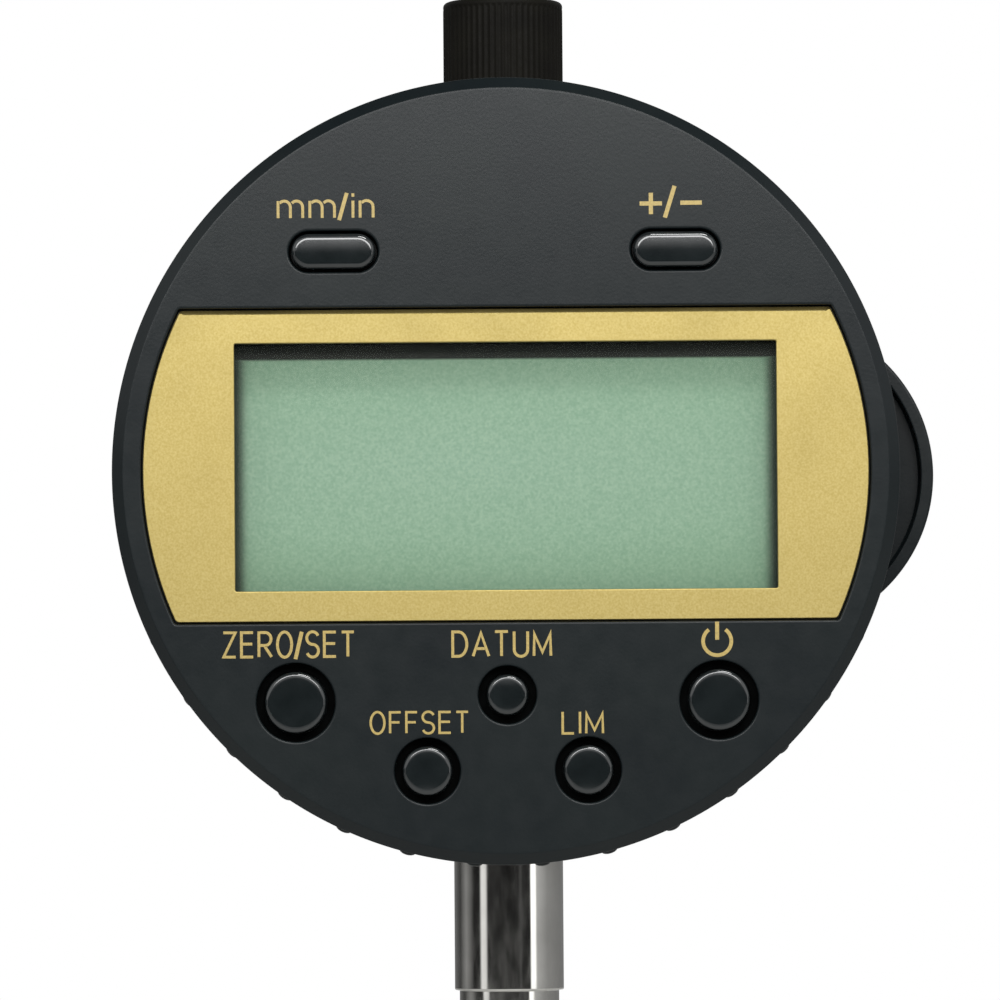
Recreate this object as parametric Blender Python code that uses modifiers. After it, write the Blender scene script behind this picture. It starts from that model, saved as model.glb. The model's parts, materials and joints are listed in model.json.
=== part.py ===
"""Digital dial indicator: a spring-loaded spindle in a clamping stem, read by a strip encoder,
under a round display unit that turns on a hub and carries seven push buttons.

Frame: the Z axis is the spindle's axis, +Z up, the display faces -Y, and the origin is the middle
of the clamping stem. Run it with: blender --background --python part.py
"""

from math import asin, cos, pi, radians, sin, sqrt

import bmesh
import bpy
from mathutils import Matrix

MM = 0.001

# ---------------------------------------------------------------- driving dimensions
# Heights are measured up from the dial's centre, depths forwards from the spindle's axis.
FIT = 0.1 * MM  # gap between fixed pieces that seat on each other
RUNNING = 0.1 * MM  # radial gap of a sliding or turning fit

FACE_RADIUS = 28.0 * MM
FACE_DEPTH = 19.3 * MM
FACE_EDGE = 0.9 * MM
CASE_WALL = 1.6 * MM
GRIP_COUNT = 36
GRIP_RISE = 0.35 * MM
GRIP_HALF_WIDTH = 0.65 * MM
GRIP_LENGTH = 2.6 * MM

BODY_RADIUS = 25.2 * MM
BODY_WALL = 1.8 * MM
BODY_FRONT = 8.0 * MM
BODY_FLOOR = 1.4 * MM
BODY_BACK = -5.4 * MM
COVER_THICKNESS = 1.8 * MM
GASKET_THICKNESS = 0.5 * MM

STEM_RADIUS = 4.0 * MM
STEM_EXPOSED = 10.8 * MM
NOSE_RADIUS = 3.65 * MM
NOSE_LENGTH = 3.0 * MM
BOSS_WALL = 1.1 * MM
BOSS_RISE = 1.4 * MM  # both bosses end this far outside the housing's wall
STEM_TOP = -18.0 * MM

SPINDLE_RADIUS = 2.25 * MM
SPINDLE_TRAVEL = 12.7 * MM
CONTACT_LENGTH = 7.3 * MM
CONTACT_BALL = 1.5 * MM
CARRIER_WIDTH = 8.0 * MM
CARRIER_HEIGHT = 10.0 * MM
BUMPER_THICKNESS = 1.5 * MM
STRIP_LENGTH = 17.0 * MM
STRIP_RAISE = 0.3 * MM  # from the carrier's underside to the strip's lower end
STRIP_THICKNESS = 0.8 * MM
READING_GAP = 0.3 * MM
PEG_RADIUS = 0.7 * MM
GUIDE_PIN_RADIUS = 0.75 * MM
SPRING_WIRE = 0.4 * MM
SPRING_GAP = 0.85 * MM  # between the spindle and the inside of the coil
SPRING_TURNS = 10

CAP_RADIUS = 4.4 * MM
CAP_WALL = 0.9 * MM
CAP_GAP = 0.3 * MM
BUSH_WALL = 0.45 * MM
UPPER_BUSH_WALL = 1.25 * MM
UPPER_BUSH_FLANGE = 0.9 * MM
UPPER_BUSH_LENGTH = 8.0 * MM
TOP_CLEARANCE = 0.3 * MM  # left under the bush when the spindle is fully up

HUB_RADIUS = 9.0 * MM
HUB_BORE = 6.2 * MM
BACK_PLATE_THICKNESS = 1.5 * MM
DISPLAY_GAP = 0.4 * MM  # between the turning display unit and the body
WASHER_THICKNESS = 0.3 * MM
PIVOT_RING_OVERHANG = 2.6 * MM
PIVOT_RING_THICKNESS = 0.8 * MM
DISPLAY_SWEEP = radians(270)
STOP_PIN_RADIUS = 0.8 * MM
STOP_PIN_OFFSET = 1.8 * MM  # from the pivot ring's edge to the pin's centre

POCKET_MARGIN = 2.1 * MM  # from the arc ends of the bezel plate's pocket to the case's side
POCKET_TOP = 11.6 * MM
POCKET_BOTTOM = -10.8 * MM
POCKET_DEPTH = 0.8 * MM
BEZEL_THICKNESS = 0.4 * MM
BEZEL_MARGIN = 0.12 * MM
APERTURE_WIDTH = 38.5 * MM
APERTURE_TOP = 9.1 * MM
APERTURE_BOTTOM = -8.5 * MM
WINDOW_THICKNESS = 1.6 * MM
WINDOW_FLANGE = 1.1 * MM
LCD_MARGIN_SIDE = 1.75 * MM  # hidden border of the glass round the aperture
LCD_MARGIN_END = 1.7 * MM
LCD_GLASS = 1.05 * MM
LCD_LEDGE = 1.3 * MM
BOARD_THICKNESS = 1.0 * MM

BUTTON_RISE = 0.5 * MM
BUTTON_TRAVEL = 0.5 * MM
BUTTON_FLANGE = 0.9 * MM
WELL_DEPTH = 1.2 * MM

# name: (x, height, half length of the straight part, button radius, well radius)
BUTTONS = {
    "units_button": (-12.15 * MM, 15.6 * MM, 1.72 * MM, 1.25 * MM, 1.46 * MM),
    "sign_button": (12.15 * MM, 15.6 * MM, 1.72 * MM, 1.25 * MM, 1.46 * MM),
    "zero_button": (-15.0 * MM, -16.4 * MM, 0, 2.17 * MM, 2.79 * MM),
    "power_button": (15.0 * MM, -16.4 * MM, 0, 2.17 * MM, 2.79 * MM),
    "origin_button": (0, -15.95 * MM, 0, 1.44 * MM, 2.06 * MM),
    "preset_button": (-5.7 * MM, -21.3 * MM, 0, 1.74 * MM, 2.33 * MM),
    "tolerance_button": (5.7 * MM, -21.3 * MM, 0, 1.74 * MM, 2.33 * MM),
}

CELL_RADIUS = 10.0 * MM
CELL_THICKNESS = 3.2 * MM
TRAY_REACH = 5.9 * MM  # how far the closed tray stands out past the housing's wall
TRAY_WALL = 1.3 * MM
TRAY_RIM = 0.7 * MM
TRAY_FLOOR = 0.8 * MM
TRAY_RECESS = 1.5 * MM
TRAY_PLAY = 0.25 * MM
TRAY_FRONT = 6.3 * MM

LUG_RADIUS = 6.0 * MM
LUG_HOLE = 3.25 * MM
LUG_THICKNESS = 5.0 * MM
LUG_REACH = 7.1 * MM  # from the cover's back face to the hole's centre

POST_SCREW = 0.8 * MM  # shank radius of the small screws
COVER_SCREW = 0.95 * MM
DISPLAY_POST_INSET = 2.2 * MM  # from a wall's inner side to the centres of its screws
COVER_POST_INSET = 1.8 * MM

# ---------------------------------------------------------------- derived sizes
BOSS_RADIUS = STEM_RADIUS + BOSS_WALL
BOSS_REACH = BODY_RADIUS + BOSS_RISE
STEM_END = -(BOSS_REACH + STEM_EXPOSED)
DIAL_HEIGHT = BOSS_REACH + STEM_EXPOSED / 2  # puts the origin mid-way down the exposed stem
NOSE_END = STEM_END - NOSE_LENGTH
BODY_INNER = BODY_RADIUS - BODY_WALL
COVER_POST_CIRCLE = BODY_INNER - COVER_POST_INSET
FLOOR_INNER = BODY_FRONT - BODY_FLOOR
COVER_FRONT = BODY_BACK - FIT - GASKET_THICKNESS - FIT
COVER_BACK = COVER_FRONT - COVER_THICKNESS
CASE_INNER = FACE_RADIUS - CASE_WALL
DISPLAY_POST_CIRCLE = CASE_INNER - DISPLAY_POST_INSET
POCKET_RADIUS = FACE_RADIUS - POCKET_MARGIN
CASE_CEILING = FACE_DEPTH - CASE_WALL
CASE_BACK = BODY_FRONT + DISPLAY_GAP
PLATE_FRONT = CASE_BACK + BACK_PLATE_THICKNESS
BEARING_RADIUS = SPINDLE_RADIUS + RUNNING
STEM_BORE = BEARING_RADIUS + BUSH_WALL + FIT
SPRING_OUTER = SPINDLE_RADIUS + SPRING_GAP + SPRING_WIRE
CARRIER_THICKNESS = 2 * SPRING_OUTER  # the strip on the carrier's front then clears the coil
CARRIER_BOTTOM = STEM_TOP + FIT + BUMPER_THICKNESS + FIT
CARRIER_TOP = CARRIER_BOTTOM + CARRIER_HEIGHT
SPINDLE_BOTTOM = NOSE_END - SPINDLE_TRAVEL - 0.5 * MM
STRIP_BACK = CARRIER_THICKNESS / 2 + FIT
ENCODER_BACK = STRIP_BACK + STRIP_THICKNESS + READING_GAP
STRIP_TOP = CARRIER_BOTTOM + STRIP_RAISE + STRIP_LENGTH
UPPER_BUSH_BOTTOM = STRIP_TOP + SPINDLE_TRAVEL + TOP_CLEARANCE + UPPER_BUSH_FLANGE + FIT
POCKET_FLOOR = FACE_DEPTH - POCKET_DEPTH
BEZEL_BACK = POCKET_FLOOR + FIT
WINDOW_FRONT = POCKET_FLOOR - FIT
WINDOW_BACK = WINDOW_FRONT - WINDOW_THICKNESS
LCD_FRONT = WINDOW_BACK - FIT
LCD_BACK = LCD_FRONT - 2 * LCD_GLASS
APERTURE_HEIGHT = APERTURE_TOP - APERTURE_BOTTOM
APERTURE_CENTRE = (APERTURE_TOP + APERTURE_BOTTOM) / 2
LCD_WIDTH = APERTURE_WIDTH + 2 * LCD_MARGIN_SIDE
LCD_HEIGHT = APERTURE_HEIGHT + 2 * LCD_MARGIN_END
BOARD_FRONT = LCD_BACK - 1.0 * MM
BOARD_BACK = BOARD_FRONT - BOARD_THICKNESS
WASHER_BACK = PLATE_FRONT + FIT
PIVOT_RING_BACK = WASHER_BACK + WASHER_THICKNESS + FIT
HUB_FRONT = PIVOT_RING_BACK - FIT
PIVOT_RING_FRONT = PIVOT_RING_BACK + PIVOT_RING_THICKNESS
PIVOT_RING_RADIUS = HUB_RADIUS + PIVOT_RING_OVERHANG
STOP_PIN_CIRCLE = PIVOT_RING_RADIUS + STOP_PIN_OFFSET
TRAY_HALF_WIDTH = CELL_RADIUS + 0.2 * MM + TRAY_WALL
TRAY_CENTRE = BODY_RADIUS + TRAY_REACH - TRAY_HALF_WIDTH
TRAY_INNER_END = TRAY_CENTRE - CELL_RADIUS - 0.8 * MM
CELL_FRONT = TRAY_FRONT - TRAY_RECESS - TRAY_FLOOR - FIT
CELL_BACK = CELL_FRONT - CELL_THICKNESS
TRAY_BACK = CELL_BACK + FIT
SHELF_FRONT = CELL_BACK - 0.4 * MM
LUG_DEPTH = COVER_BACK - LUG_REACH
BUTTON_BACK = CASE_CEILING - 2.1 * MM
SPINDLE_TOP = BOSS_REACH + 7.0 * MM - SPINDLE_TRAVEL
CAP_TOP = SPINDLE_TOP + SPINDLE_TRAVEL + 0.8 * MM + CAP_WALL
SPIGOT_RADIUS = CAP_RADIUS - CAP_WALL - FIT

SMOOTH, ROUND, FINE = 60, 24, 12  # sides of dial-sized, finger-sized and screw-sized circles

# colour, roughness, metallic
FINISHES = {
    "case_plastic": ((0.045, 0.050, 0.052), 0.55, 0.0),
    "button_plastic": ((0.020, 0.023, 0.025), 0.25, 0.0),
    "cap_plastic": ((0.012, 0.012, 0.010), 0.60, 0.0),
    "bezel_gold": ((0.62, 0.48, 0.18), 0.38, 1.0),
    "clear_acrylic": ((0.85, 0.92, 0.88), 0.05, 0.0),
    "lcd_glass": ((0.33, 0.44, 0.34), 0.30, 0.0),
    "stainless_steel": ((0.60, 0.60, 0.59), 0.15, 1.0),
    "bronze": ((0.55, 0.36, 0.16), 0.35, 1.0),
    "die_cast": ((0.050, 0.052, 0.055), 0.50, 0.2),
    "circuit_board": ((0.02, 0.16, 0.06), 0.45, 0.0),
    "chip_epoxy": ((0.015, 0.015, 0.015), 0.40, 0.0),
    "rubber": ((0.02, 0.02, 0.02), 0.80, 0.0),
    "polyimide": ((0.55, 0.25, 0.04), 0.35, 0.0),
}


# ---------------------------------------------------------------- modelling helpers
def clear_scene():
    for obj in list(bpy.data.objects):
        bpy.data.objects.remove(obj)


def new_collection(name):
    collection = bpy.data.collections.new(name)
    bpy.context.scene.collection.children.link(collection)
    return collection


def material(slot):
    made = bpy.data.materials.get(slot)
    if made:
        return made
    colour, roughness, metallic = FINISHES[slot]
    made = bpy.data.materials.new(slot)
    made.use_nodes = True
    shader = made.node_tree.nodes["Principled BSDF"]
    shader.inputs["Base Color"].default_value = (*colour, 1.0)
    shader.inputs["Roughness"].default_value = roughness
    shader.inputs["Metallic"].default_value = metallic
    return made


def new_frame(name, location, rotation=(0, 0, 0), parent=None):
    """An empty that carries pieces: a body of the assembly, or the way a shape lies."""
    frame = bpy.data.objects.new(name, None)
    parts.objects.link(frame)
    frame.parent = parent
    frame.location = location
    frame.rotation_euler = rotation
    frame.empty_display_size = 5 * MM
    return frame


def add_object(name, data, frame, location=(0, 0, 0)):
    obj = bpy.data.objects.new(name, data)
    parts.objects.link(obj)
    obj.parent = frame
    obj.location = location
    return obj


def finish(obj, slot):
    """Gives the piece its material, and smooth shading on its round faces."""
    obj.data.materials.append(material(slot))
    if obj.type == "MESH":
        obj.data.shade_smooth()
        obj.data.set_sharp_from_angle(angle=radians(35))
    return obj


def cylinder(name, frame, radius, low, high, at=(0, 0), sides=ROUND):
    """A round bar along the frame's Z from low to high."""
    shape = bmesh.new()
    bmesh.ops.create_cone(shape, cap_ends=True, segments=sides, radius1=radius, radius2=radius, depth=high - low)
    mesh = bpy.data.meshes.new(name)
    shape.to_mesh(mesh)
    shape.free()
    return add_object(name, mesh, frame, (at[0], at[1], (low + high) / 2))


def box(name, frame, x, y, z):
    """A block between two x values, two y values and two z values of the frame."""
    shape = bmesh.new()
    size = Matrix.Diagonal((x[1] - x[0], y[1] - y[0], z[1] - z[0], 1))
    bmesh.ops.create_cube(shape, size=1, matrix=size)
    mesh = bpy.data.meshes.new(name)
    shape.to_mesh(mesh)
    shape.free()
    return add_object(name, mesh, frame, (sum(x) / 2, sum(y) / 2, sum(z) / 2))


def turned(name, frame, profile, sides=ROUND, closed=False, location=(0, 0, 0)):
    """A shape turned about the frame's Z. The profile is (radius, z) points, down the outer side."""
    mesh = bpy.data.meshes.new(name)
    count = len(profile)
    edges = [(i, (i + 1) % count) for i in range(count if closed else count - 1)]
    mesh.from_pydata([(radius, 0, z) for radius, z in profile], edges, [])
    obj = add_object(name, mesh, frame, location)
    screw = obj.modifiers.new("turn", "SCREW")
    screw.steps = screw.render_steps = sides
    screw.use_merge_vertices = True
    screw.merge_threshold = 0.00001
    screw.use_smooth_shade = False
    return obj


def tube(name, frame, inner, outer, low, high, sides=ROUND):
    """A plain ring or bush about the frame's Z."""
    profile = [(inner, high), (outer, high), (outer, low), (inner, low)]
    return turned(name, frame, profile, sides, closed=True)


def flat(name, frame, outlines, low, high):
    """A flat sheet in the frame's XY plane from z low to high; the outlines after the first are holes."""
    curve = bpy.data.curves.new(name, "CURVE")
    curve.dimensions = "2D"
    curve.fill_mode = "BOTH"
    curve.extrude = (high - low) / 2
    for outline in outlines:
        spline = curve.splines.new("POLY")
        spline.points.add(len(outline) - 1)
        for point, (x, y) in zip(spline.points, outline):
            point.co = (x, y, 0, 1)
        spline.use_cyclic_u = True
    return add_object(name, curve, frame, (0, 0, (low + high) / 2))


def as_mesh(obj):
    """Swaps a curve for its mesh, caps welded on, so that a Boolean can read it."""
    bpy.context.view_layer.update()
    name, frame, location = obj.name, obj.parent, obj.location.copy()
    made = bpy.data.meshes.new_from_object(obj.evaluated_get(bpy.context.evaluated_depsgraph_get()))
    shape = bmesh.new()
    shape.from_mesh(made)
    bmesh.ops.remove_doubles(shape, verts=shape.verts, dist=0.000001)
    shape.to_mesh(made)
    shape.free()
    bpy.data.objects.remove(obj)
    return add_object(name, made, frame, location)


def boolean(target, operation, tools):
    for tool in tools:
        parts.objects.unlink(tool)
        cutters.objects.link(tool)
        tool.hide_render = True
        tool.display_type = "WIRE"
        step = target.modifiers.new(tool.name, "BOOLEAN")
        step.operation = operation
        step.solver = "EXACT"
        step.object = tool
    return target


def cut(target, *tools):
    return boolean(target, "DIFFERENCE", tools)


def join(target, *tools):
    return boolean(target, "UNION", tools)


def leaf(name, frame, path, width_axis, low, high, thickness):
    """A bent strip of sheet metal: a path in two axes, drawn out from low to high along width_axis."""
    mesh = bpy.data.meshes.new(name)
    points = []
    for first, second in path:
        for side in (low, high):
            point = [first, second]
            point.insert(width_axis, side)
            points.append(point)
    quads = [(2 * i, 2 * i + 1, 2 * i + 3, 2 * i + 2) for i in range(len(path) - 1)]
    mesh.from_pydata(points, [], quads)
    obj = add_object(name, mesh, frame)
    wall = obj.modifiers.new("thickness", "SOLIDIFY")
    wall.thickness = thickness
    wall.offset = 0
    return obj


def arc(radius, start, end, steps, centre=(0, 0)):
    angles = [start + (end - start) * i / steps for i in range(steps + 1)]
    return [(centre[0] + radius * cos(a), centre[1] + radius * sin(a)) for a in angles]


def pill(half_length, radius, steps=5):
    """A round-ended slot outline about the origin, or a circle where half_length is 0."""
    if half_length == 0:
        return arc(radius, 0, 2 * pi, 3 * steps)[:-1]
    right = arc(radius, -pi / 2, pi / 2, steps, (half_length, 0))
    left = arc(radius, pi / 2, 3 * pi / 2, steps, (-half_length, 0))
    return right + left


def barrel_outline(radius, top, bottom, steps=14):
    """A disc cut off straight above and below: the shape of the bezel plate."""
    right = arc(radius, asin(bottom / radius), asin(top / radius), steps)
    left = arc(radius, pi - asin(top / radius), pi - asin(bottom / radius), steps)
    return right + left


def rectangle(width, top, bottom):
    return [(-width / 2, bottom), (width / 2, bottom), (width / 2, top), (-width / 2, top)]


def grip_outline(radius, rise, half_width, count):
    """A circle with count low round ribs on it, half a pitch off the vertical."""
    half_angle = half_width / radius
    points = []
    for i in range(count):
        middle = (i + 0.5) * 2 * pi / count - pi / 2
        for share, height in ((-1, 0), (-0.5, 0.8), (0.5, 0.8), (1, 0)):
            reach = radius + height * rise / 0.8
            angle = middle + share * half_angle
            points.append((reach * cos(angle), reach * sin(angle)))
    return points


def seated_hole(name, frame, at, shank, seat, outside, step, through):
    """Cutter for a screw hole with a wider seat for the head, from outside the piece to the step."""
    profile = [(0, through), (shank, through), (shank, step), (seat, step), (seat, outside), (0, outside)]
    return turned(name, frame, profile, FINE, location=(*at, 0))


def around(radius, count, start=0.0):
    return [(radius * cos(start + i * 2 * pi / count), radius * sin(start + i * 2 * pi / count)) for i in range(count)]


def screw(name, frame, at, shank, head, head_back, head_front, tip):
    """A pan-head screw along Z: its head lies between head_back and head_front, its point is at tip."""
    top, under = (head_front, head_back) if tip < head_back else (head_back, head_front)
    profile = [(0, top), (head, top), (head, under), (shank, under), (shank, tip), (0, tip)]
    if tip > under:
        profile.reverse()
    return finish(turned(name, frame, profile, FINE, location=(*at, 0)), "stainless_steel")


# ---------------------------------------------------------------- the turning display unit
def front_case():
    rounding = arc(FACE_EDGE, pi / 2, 0, 4, (FACE_RADIUS - FACE_EDGE, FACE_DEPTH - FACE_EDGE))
    profile = [(0, FACE_DEPTH), *rounding, (FACE_RADIUS, CASE_BACK), (CASE_INNER, CASE_BACK)]
    profile += [(CASE_INNER, CASE_CEILING), (0, CASE_CEILING)]
    case = turned("front_case", display, profile, SMOOTH)

    ribs = grip_outline(FACE_RADIUS - 0.05 * MM, GRIP_RISE + 0.05 * MM, GRIP_HALF_WIDTH, GRIP_COUNT)
    ring = [ribs, arc(FACE_RADIUS - CASE_WALL / 2, 0, 2 * pi, SMOOTH)[:-1]]
    grip_foot = CASE_BACK + 0.6 * MM
    join(case, as_mesh(flat("grip_ribs", display, ring, grip_foot, grip_foot + GRIP_LENGTH)))

    frame_wall, frame_back = 0.9 * MM, BOARD_FRONT + 0.3 * MM
    half_width, half_height = LCD_WIDTH / 2 + 0.3 * MM, LCD_HEIGHT / 2 + 0.3 * MM
    outer = rectangle(2 * (half_width + frame_wall), APERTURE_CENTRE + half_height + frame_wall,
                      APERTURE_CENTRE - half_height - frame_wall)
    inner = rectangle(2 * half_width, APERTURE_CENTRE + half_height, APERTURE_CENTRE - half_height)
    join(case, as_mesh(flat("lcd_frame", display, [outer, inner], frame_back, CASE_CEILING + 0.3 * MM)))

    for i, at in enumerate(around(DISPLAY_POST_CIRCLE, 4)):
        post = cylinder(f"case_post_{i}", display, 2 * POST_SCREW, PLATE_FRONT + FIT, CASE_CEILING + 0.3 * MM, at, FINE)
        hole = cylinder(f"case_post_hole_{i}", display, POST_SCREW + FIT, PLATE_FRONT - MM, CASE_CEILING - MM, at, FINE)
        join(case, post)
        cut(case, hole)

    pocket = barrel_outline(POCKET_RADIUS, POCKET_TOP, POCKET_BOTTOM)
    cut(case, as_mesh(flat("bezel_pocket", display, [pocket], POCKET_FLOOR, FACE_DEPTH + MM)))
    opening = rectangle(APERTURE_WIDTH + 0.6 * MM, APERTURE_TOP + 0.3 * MM, APERTURE_BOTTOM - 0.3 * MM)
    cut(case, as_mesh(flat("window_opening", display, [opening], CASE_CEILING - MM, FACE_DEPTH + MM)))

    for name, (x, y, half_length, radius, well) in BUTTONS.items():
        spot = new_frame(f"{name}_spot", (x, y, 0), parent=display)
        deep = flat(f"{name}_hole", spot, [pill(half_length, radius + RUNNING)], CASE_CEILING - MM, FACE_DEPTH + MM)
        wide = flat(f"{name}_well", spot, [pill(half_length, well)], FACE_DEPTH - WELL_DEPTH, FACE_DEPTH + MM)
        cut(case, as_mesh(deep), as_mesh(wide))
    return finish(case, "case_plastic")


def bezel_plate():
    margin = BEZEL_MARGIN
    outer = barrel_outline(POCKET_RADIUS - margin, POCKET_TOP - margin, POCKET_BOTTOM + margin)
    hole = rectangle(APERTURE_WIDTH, APERTURE_TOP, APERTURE_BOTTOM)
    plate = flat("bezel_plate", display, [outer, hole], BEZEL_BACK, BEZEL_BACK + BEZEL_THICKNESS)
    return finish(plate, "bezel_gold")


def display_window():
    """A clear block that fills the case's opening from behind, held by a flange under the wall."""
    reach = 0.15 * MM
    half_width, half_height = APERTURE_WIDTH / 2 + reach, APERTURE_HEIGHT / 2 + reach
    window = box("display_window", display, (-half_width, half_width),
                 (APERTURE_CENTRE - half_height, APERTURE_CENTRE + half_height), (WINDOW_BACK, WINDOW_FRONT))
    half_width, half_height = half_width + WINDOW_FLANGE, half_height + WINDOW_FLANGE
    flange = box("window_flange", display, (-half_width, half_width),
                 (APERTURE_CENTRE - half_height, APERTURE_CENTRE + half_height),
                 (WINDOW_BACK + 0.02 * MM, CASE_CEILING - FIT))
    return finish(join(window, flange), "clear_acrylic")


def lcd_panel():
    """Two sheets of glass; the front one stands proud above and below, where its contacts are."""
    half_width, half_height = LCD_WIDTH / 2, LCD_HEIGHT / 2
    panel = box("lcd_panel", display, (-half_width, half_width),
                (APERTURE_CENTRE - half_height, APERTURE_CENTRE + half_height), (LCD_FRONT - LCD_GLASS, LCD_FRONT))
    half_height -= LCD_LEDGE
    rear = box("lcd_rear_glass", display, (-half_width + 0.1 * MM, half_width - 0.1 * MM),
               (APERTURE_CENTRE - half_height, APERTURE_CENTRE + half_height),
               (LCD_BACK, LCD_FRONT - 0.5 * LCD_GLASS))
    return finish(join(panel, rear), "lcd_glass")


def zebra_strips():
    """Rubber connectors between the glass ledges and the display board."""
    middle = LCD_HEIGHT / 2 - LCD_LEDGE / 2
    half = LCD_LEDGE / 2 - 0.15 * MM
    for name, side in (("zebra_strip_upper", 1), ("zebra_strip_lower", -1)):
        centre = APERTURE_CENTRE + side * middle
        strip = box(name, display, (-LCD_WIDTH / 2 + 2 * MM, LCD_WIDTH / 2 - 2 * MM), (centre - half, centre + half),
                    (BOARD_FRONT + FIT, LCD_FRONT - LCD_GLASS - FIT))
        finish(strip, "rubber")


def display_board():
    board = cylinder("display_board", display, CASE_INNER - 0.8 * MM, BOARD_BACK, BOARD_FRONT, sides=48)
    for i, at in enumerate(around(DISPLAY_POST_CIRCLE, 4)):
        cut(board, cylinder(f"board_notch_{i}", display, 2 * POST_SCREW + 0.25 * MM,
                            BOARD_BACK - MM, BOARD_FRONT + MM, at, FINE))
    finish(board, "circuit_board")
    chip = box("processor_chip", display, (-19.5 * MM, -12.5 * MM), (-3.5 * MM, 3.5 * MM),
               (BOARD_BACK - FIT - 1.2 * MM, BOARD_BACK - FIT))
    finish(chip, "chip_epoxy")


def buttons():
    """Each button is a capped plunger with a flange behind the wall, over its own switch."""
    for name, (x, y, half_length, radius, _) in BUTTONS.items():
        own = new_frame(f"{name}_body", (x, y, FACE_DEPTH), parent=display)
        crown = BUTTON_RISE * 0.6
        shaft_top = BUTTON_RISE - crown
        shaft = as_mesh(flat(name, own, [pill(half_length, radius)], BUTTON_BACK - FACE_DEPTH, shaft_top + 0.05 * MM))
        top = as_mesh(flat(f"{name}_crown", own, [pill(half_length, radius - 0.35 * MM)], 0, BUTTON_RISE))
        flange_front = CASE_CEILING - FIT - FACE_DEPTH
        flange = as_mesh(flat(f"{name}_flange", own, [pill(half_length, radius + BUTTON_FLANGE)],
                              flange_front - 0.7 * MM, flange_front))
        finish(join(shaft, top, flange), "button_plastic")

        spot = new_frame(f"{name}_switch_spot", (x, y, 0), parent=display)
        switch = box(name.replace("_button", "_switch"), spot, (-1.6 * MM, 1.6 * MM), (-1.6 * MM, 1.6 * MM),
                     (BOARD_FRONT + FIT, BOARD_FRONT + 0.9 * MM))
        plunger_top = BUTTON_BACK - BUTTON_TRAVEL - FIT
        plunger = cylinder(f"{name}_plunger", spot, 0.8 * MM, BOARD_FRONT + 0.5 * MM, plunger_top, sides=FINE)
        finish(join(switch, plunger), "stainless_steel")


def display_back_plate():
    """Closes the unit and runs on the body's hub; a part-ring groove behind it takes the stop pin."""
    plate = tube("display_back_plate", display, HUB_RADIUS + RUNNING, CASE_INNER - 2 * FIT,
                 CASE_BACK, PLATE_FRONT, SMOOTH)
    end_play = asin((STOP_PIN_RADIUS + RUNNING) / STOP_PIN_CIRCLE)
    start, end = -pi / 2 - DISPLAY_SWEEP / 2 - end_play, -pi / 2 + DISPLAY_SWEEP / 2 + end_play
    half_groove = STOP_PIN_RADIUS + 0.2 * MM
    groove = arc(STOP_PIN_CIRCLE + half_groove, start, end, 36) + arc(STOP_PIN_CIRCLE - half_groove, end, start, 36)
    cut(plate, as_mesh(flat("stop_groove", display, [groove], CASE_BACK - MM, PLATE_FRONT - 0.4 * MM)))
    head_seat = CASE_BACK + 0.85 * MM
    for i, at in enumerate(around(DISPLAY_POST_CIRCLE, 4)):
        cut(plate, seated_hole(f"plate_hole_{i}", display, at, POST_SCREW + FIT, 1.6 * MM,
                               CASE_BACK - MM, head_seat, PLATE_FRONT + MM))
        screw(f"display_screw_{i + 1}", display, at, POST_SCREW, 1.4 * MM,
              CASE_BACK + FIT, head_seat - FIT, PLATE_FRONT + 5 * MM)
    return finish(plate, "case_plastic")


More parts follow.
